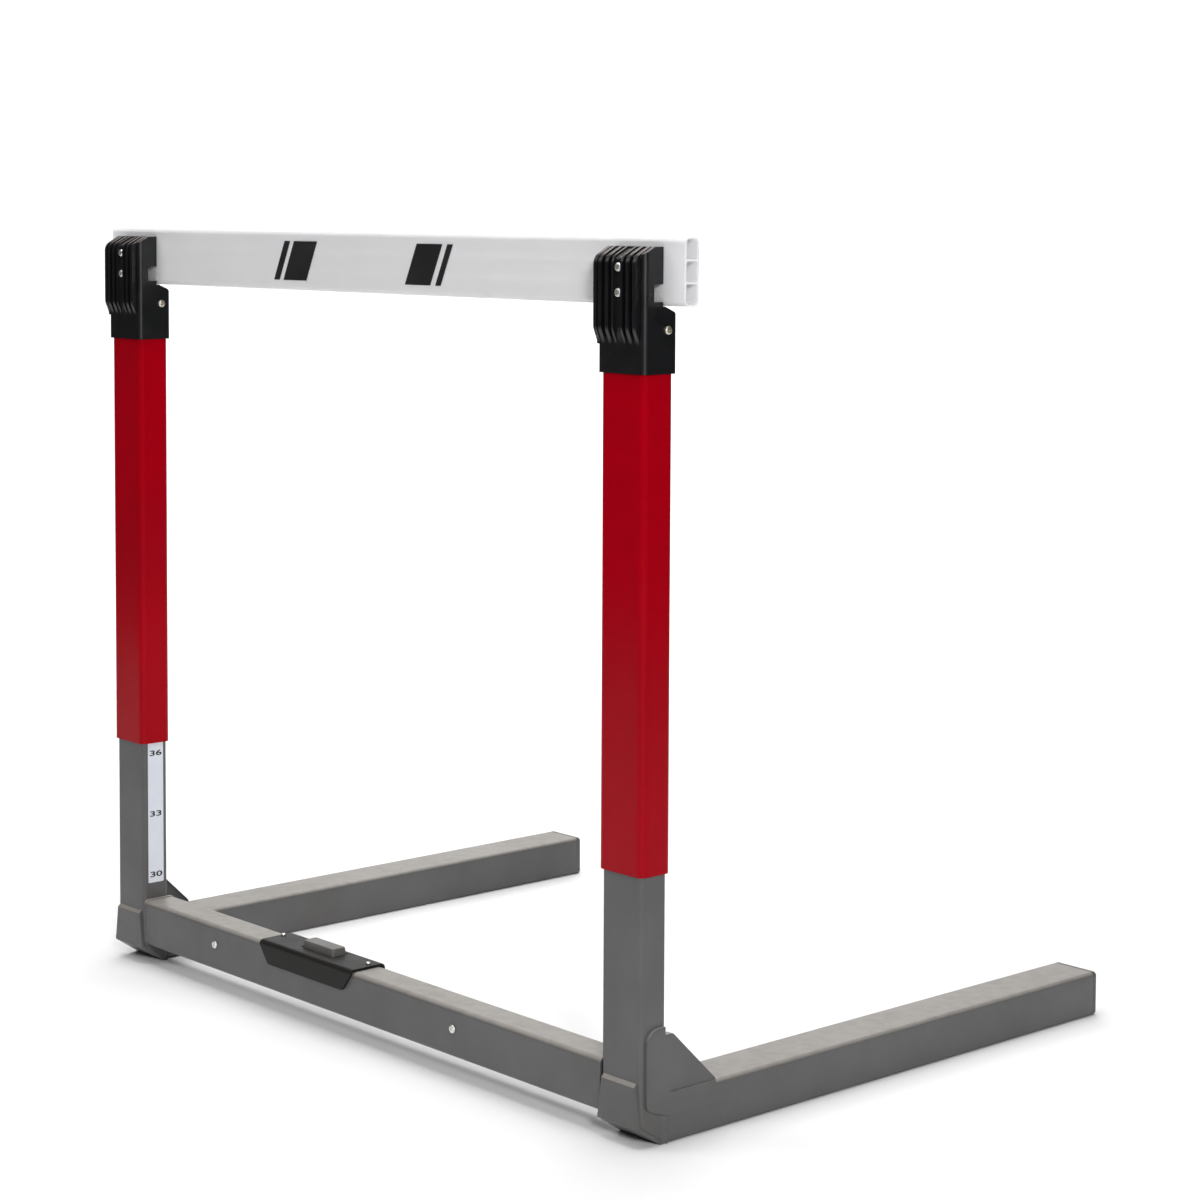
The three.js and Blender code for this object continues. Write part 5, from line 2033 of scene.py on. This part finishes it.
@dataclass
class Studio:
    """The pale floor, the soft lights and the camera at the photograph's angle.

    Attributes:
        yaw: The camera's turn from +Y towards -X, in degrees.
        pitch: How far it looks down, in degrees.
        roll: Its roll in degrees.
        focal: Its focal length in image widths.
        sensor: The width of its sensor in millimetres.
        sight: How far it sees, in metres.
        centre: The picture's optical centre from its left and its top, in image widths.
        stand: Its place from the ground under the middle of the posts' fronts, in metres.
        floor: The floor's half length along the view in metres.
        floor_side: Its half width in metres.
        floor_bend: How much of the half length the bend up to the wall takes up.
        wall: The height of the wall behind the floor in metres.
        paper: The finish of floor and wall: matt white paper, faintly uneven.
        sky: The brightness of the room.
        lamps: The lights.
    """

    yaw: float = 48.27
    pitch: float = 3.73
    roll: float = 0.27
    focal: float = 2.3227
    sensor: float = 36
    sight: float = 100
    centre: Span = (0.49651, 0.32388)
    stand: tuple[float, float, float] = (2.49372, -1.8558, 0.94275)
    floor: float = 7.0
    floor_side: float = 3.0
    floor_bend: float = 1 / 3
    wall: float = 5.0
    paper: Finish = Finish(
        "studio_paper", 0xF4F4F4, 0xF2F2F2, 0.8, patch=900, grain=3.0, relief=0.01, specular=0.1
    )
    sky: float = 0.05
    lamps: tuple[Lamp, ...] = (
        Lamp("overhead", 2.4, 84, 0, 0.3, 3.3),
        Lamp("key", 0.6, 76, 8, 3.8, 1.8),
        Lamp("glint", 1.0, 17, -80, 2.4, 2.6),
        Lamp("backdrop", 4.0, 250, 180, 3.6, 3.6, (5.5, 0.0)),
    )

    def backdrop(self) -> None:
        """Builds the floor and the wall behind it, with a round bend between them."""
        bpy.ops.object.select_all(action="DESELECT")
        bpy.ops.mesh.primitive_plane_add(size=2 * self.floor, location=(0, 0, 0))
        origin = Vector((0, 0, 0))
        shape = Shape(Place(origin), bpy.context.object, "studio_floor")
        shape.scale(Vector((self.floor_side / self.floor, 1, 1)), origin, anywhere)
        far = self.floor / MM
        with shape.picked("EDGE", lambda e: all(near(v.co.y / MM, far) for v in e.verts)):
            up = {"value": (0, 0, self.wall)}
            bpy.ops.mesh.extrude_region_move(TRANSFORM_OT_translate=up)
        shape.round(
            Axis.X,
            far * self.floor_bend,
            lambda p: abs(p.y - far) < CLOSE and abs(p.z) < CLOSE,
            steps=24,
        )
        shape.piece.matrix_world = Matrix.Rotation(math.radians(self.yaw), 4, "Z")
        activate(shape.piece)
        settle()
        bpy.ops.object.shade_smooth()
        shape.piece.data.materials.append(self.paper.material())

    def beside(self, turn: float, away: float, height: float) -> Vector:
        """A place round the hurdle, by its turn from the camera's side in degrees."""
        angle = math.radians(self.yaw - 90 + turn)
        return Vector((math.cos(angle) * away, math.sin(angle) * away, height))

    def light(self, lamp: Lamp) -> None:
        """Adds a light.

        Args:
            lamp: Its size, its power and its place.
        """
        data = bpy.data.lights.new(lamp.name, "AREA")
        data.shape = "SQUARE"
        data.size = lamp.size
        data.energy = lamp.power
        piece = bpy.data.objects.new(lamp.name, data)
        bpy.context.scene.collection.objects.link(piece)
        piece.location = self.beside(lamp.turn, lamp.away, lamp.height)
        way = self.beside(lamp.turn, *lamp.aim) - piece.location
        piece.rotation_euler = way.to_track_quat("-Z", "Y").to_euler()

    def camera(self) -> None:
        """Sets the camera up."""
        data = bpy.data.cameras.new("photo_camera")
        data.sensor_width = self.sensor
        data.lens = data.sensor_width * self.focal
        data.shift_x = 0.5 - self.centre[0]
        data.shift_y = self.centre[1] - 0.5
        data.clip_end = self.sight
        camera = bpy.data.objects.new("photo_camera", data)
        bpy.context.scene.collection.objects.link(camera)
        matrix = Matrix.Translation(middle_place().origin + Vector(self.stand))
        for turn, axis in ((self.yaw, "Z"), (90 - self.pitch, "X"), (self.roll, "Z")):
            matrix = matrix @ Matrix.Rotation(math.radians(turn), 4, axis)
        camera.matrix_world = matrix
        bpy.context.scene.camera = camera

    def build(self) -> None:
        """Builds the backdrop, the lights and the camera."""
        self.backdrop()
        for lamp in self.lamps:
            self.light(lamp)
        world = bpy.data.worlds.new("studio_room")
        world.use_nodes = True
        background = world.node_tree.nodes["Background"]
        background.inputs["Color"].default_value = (1, 1, 1, 1)
        background.inputs["Strength"].default_value = self.sky
        bpy.context.scene.world = world
        bpy.context.scene.view_settings.view_transform = "Standard"
        self.camera()


def main() -> None:
    """Loads the frame, builds every sub-assembly and sets the studio up."""
    logging.basicConfig(level=logging.INFO, format="%(message)s")
    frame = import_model()
    for side in Side:
        FrameSide(side).build()
    HeightScale(Side.LEFT).build()
    release = FootRelease()
    release.build()
    Crossbar().build(release)
    Board().build()
    for side in Side:
        Sleeve(side).build()
    Cap(Side.RIGHT).build()
    Screws().build()
    HiddenGear().build(frame["nodes"])
    Studio().build()


if __name__ == "__main__":
    main()
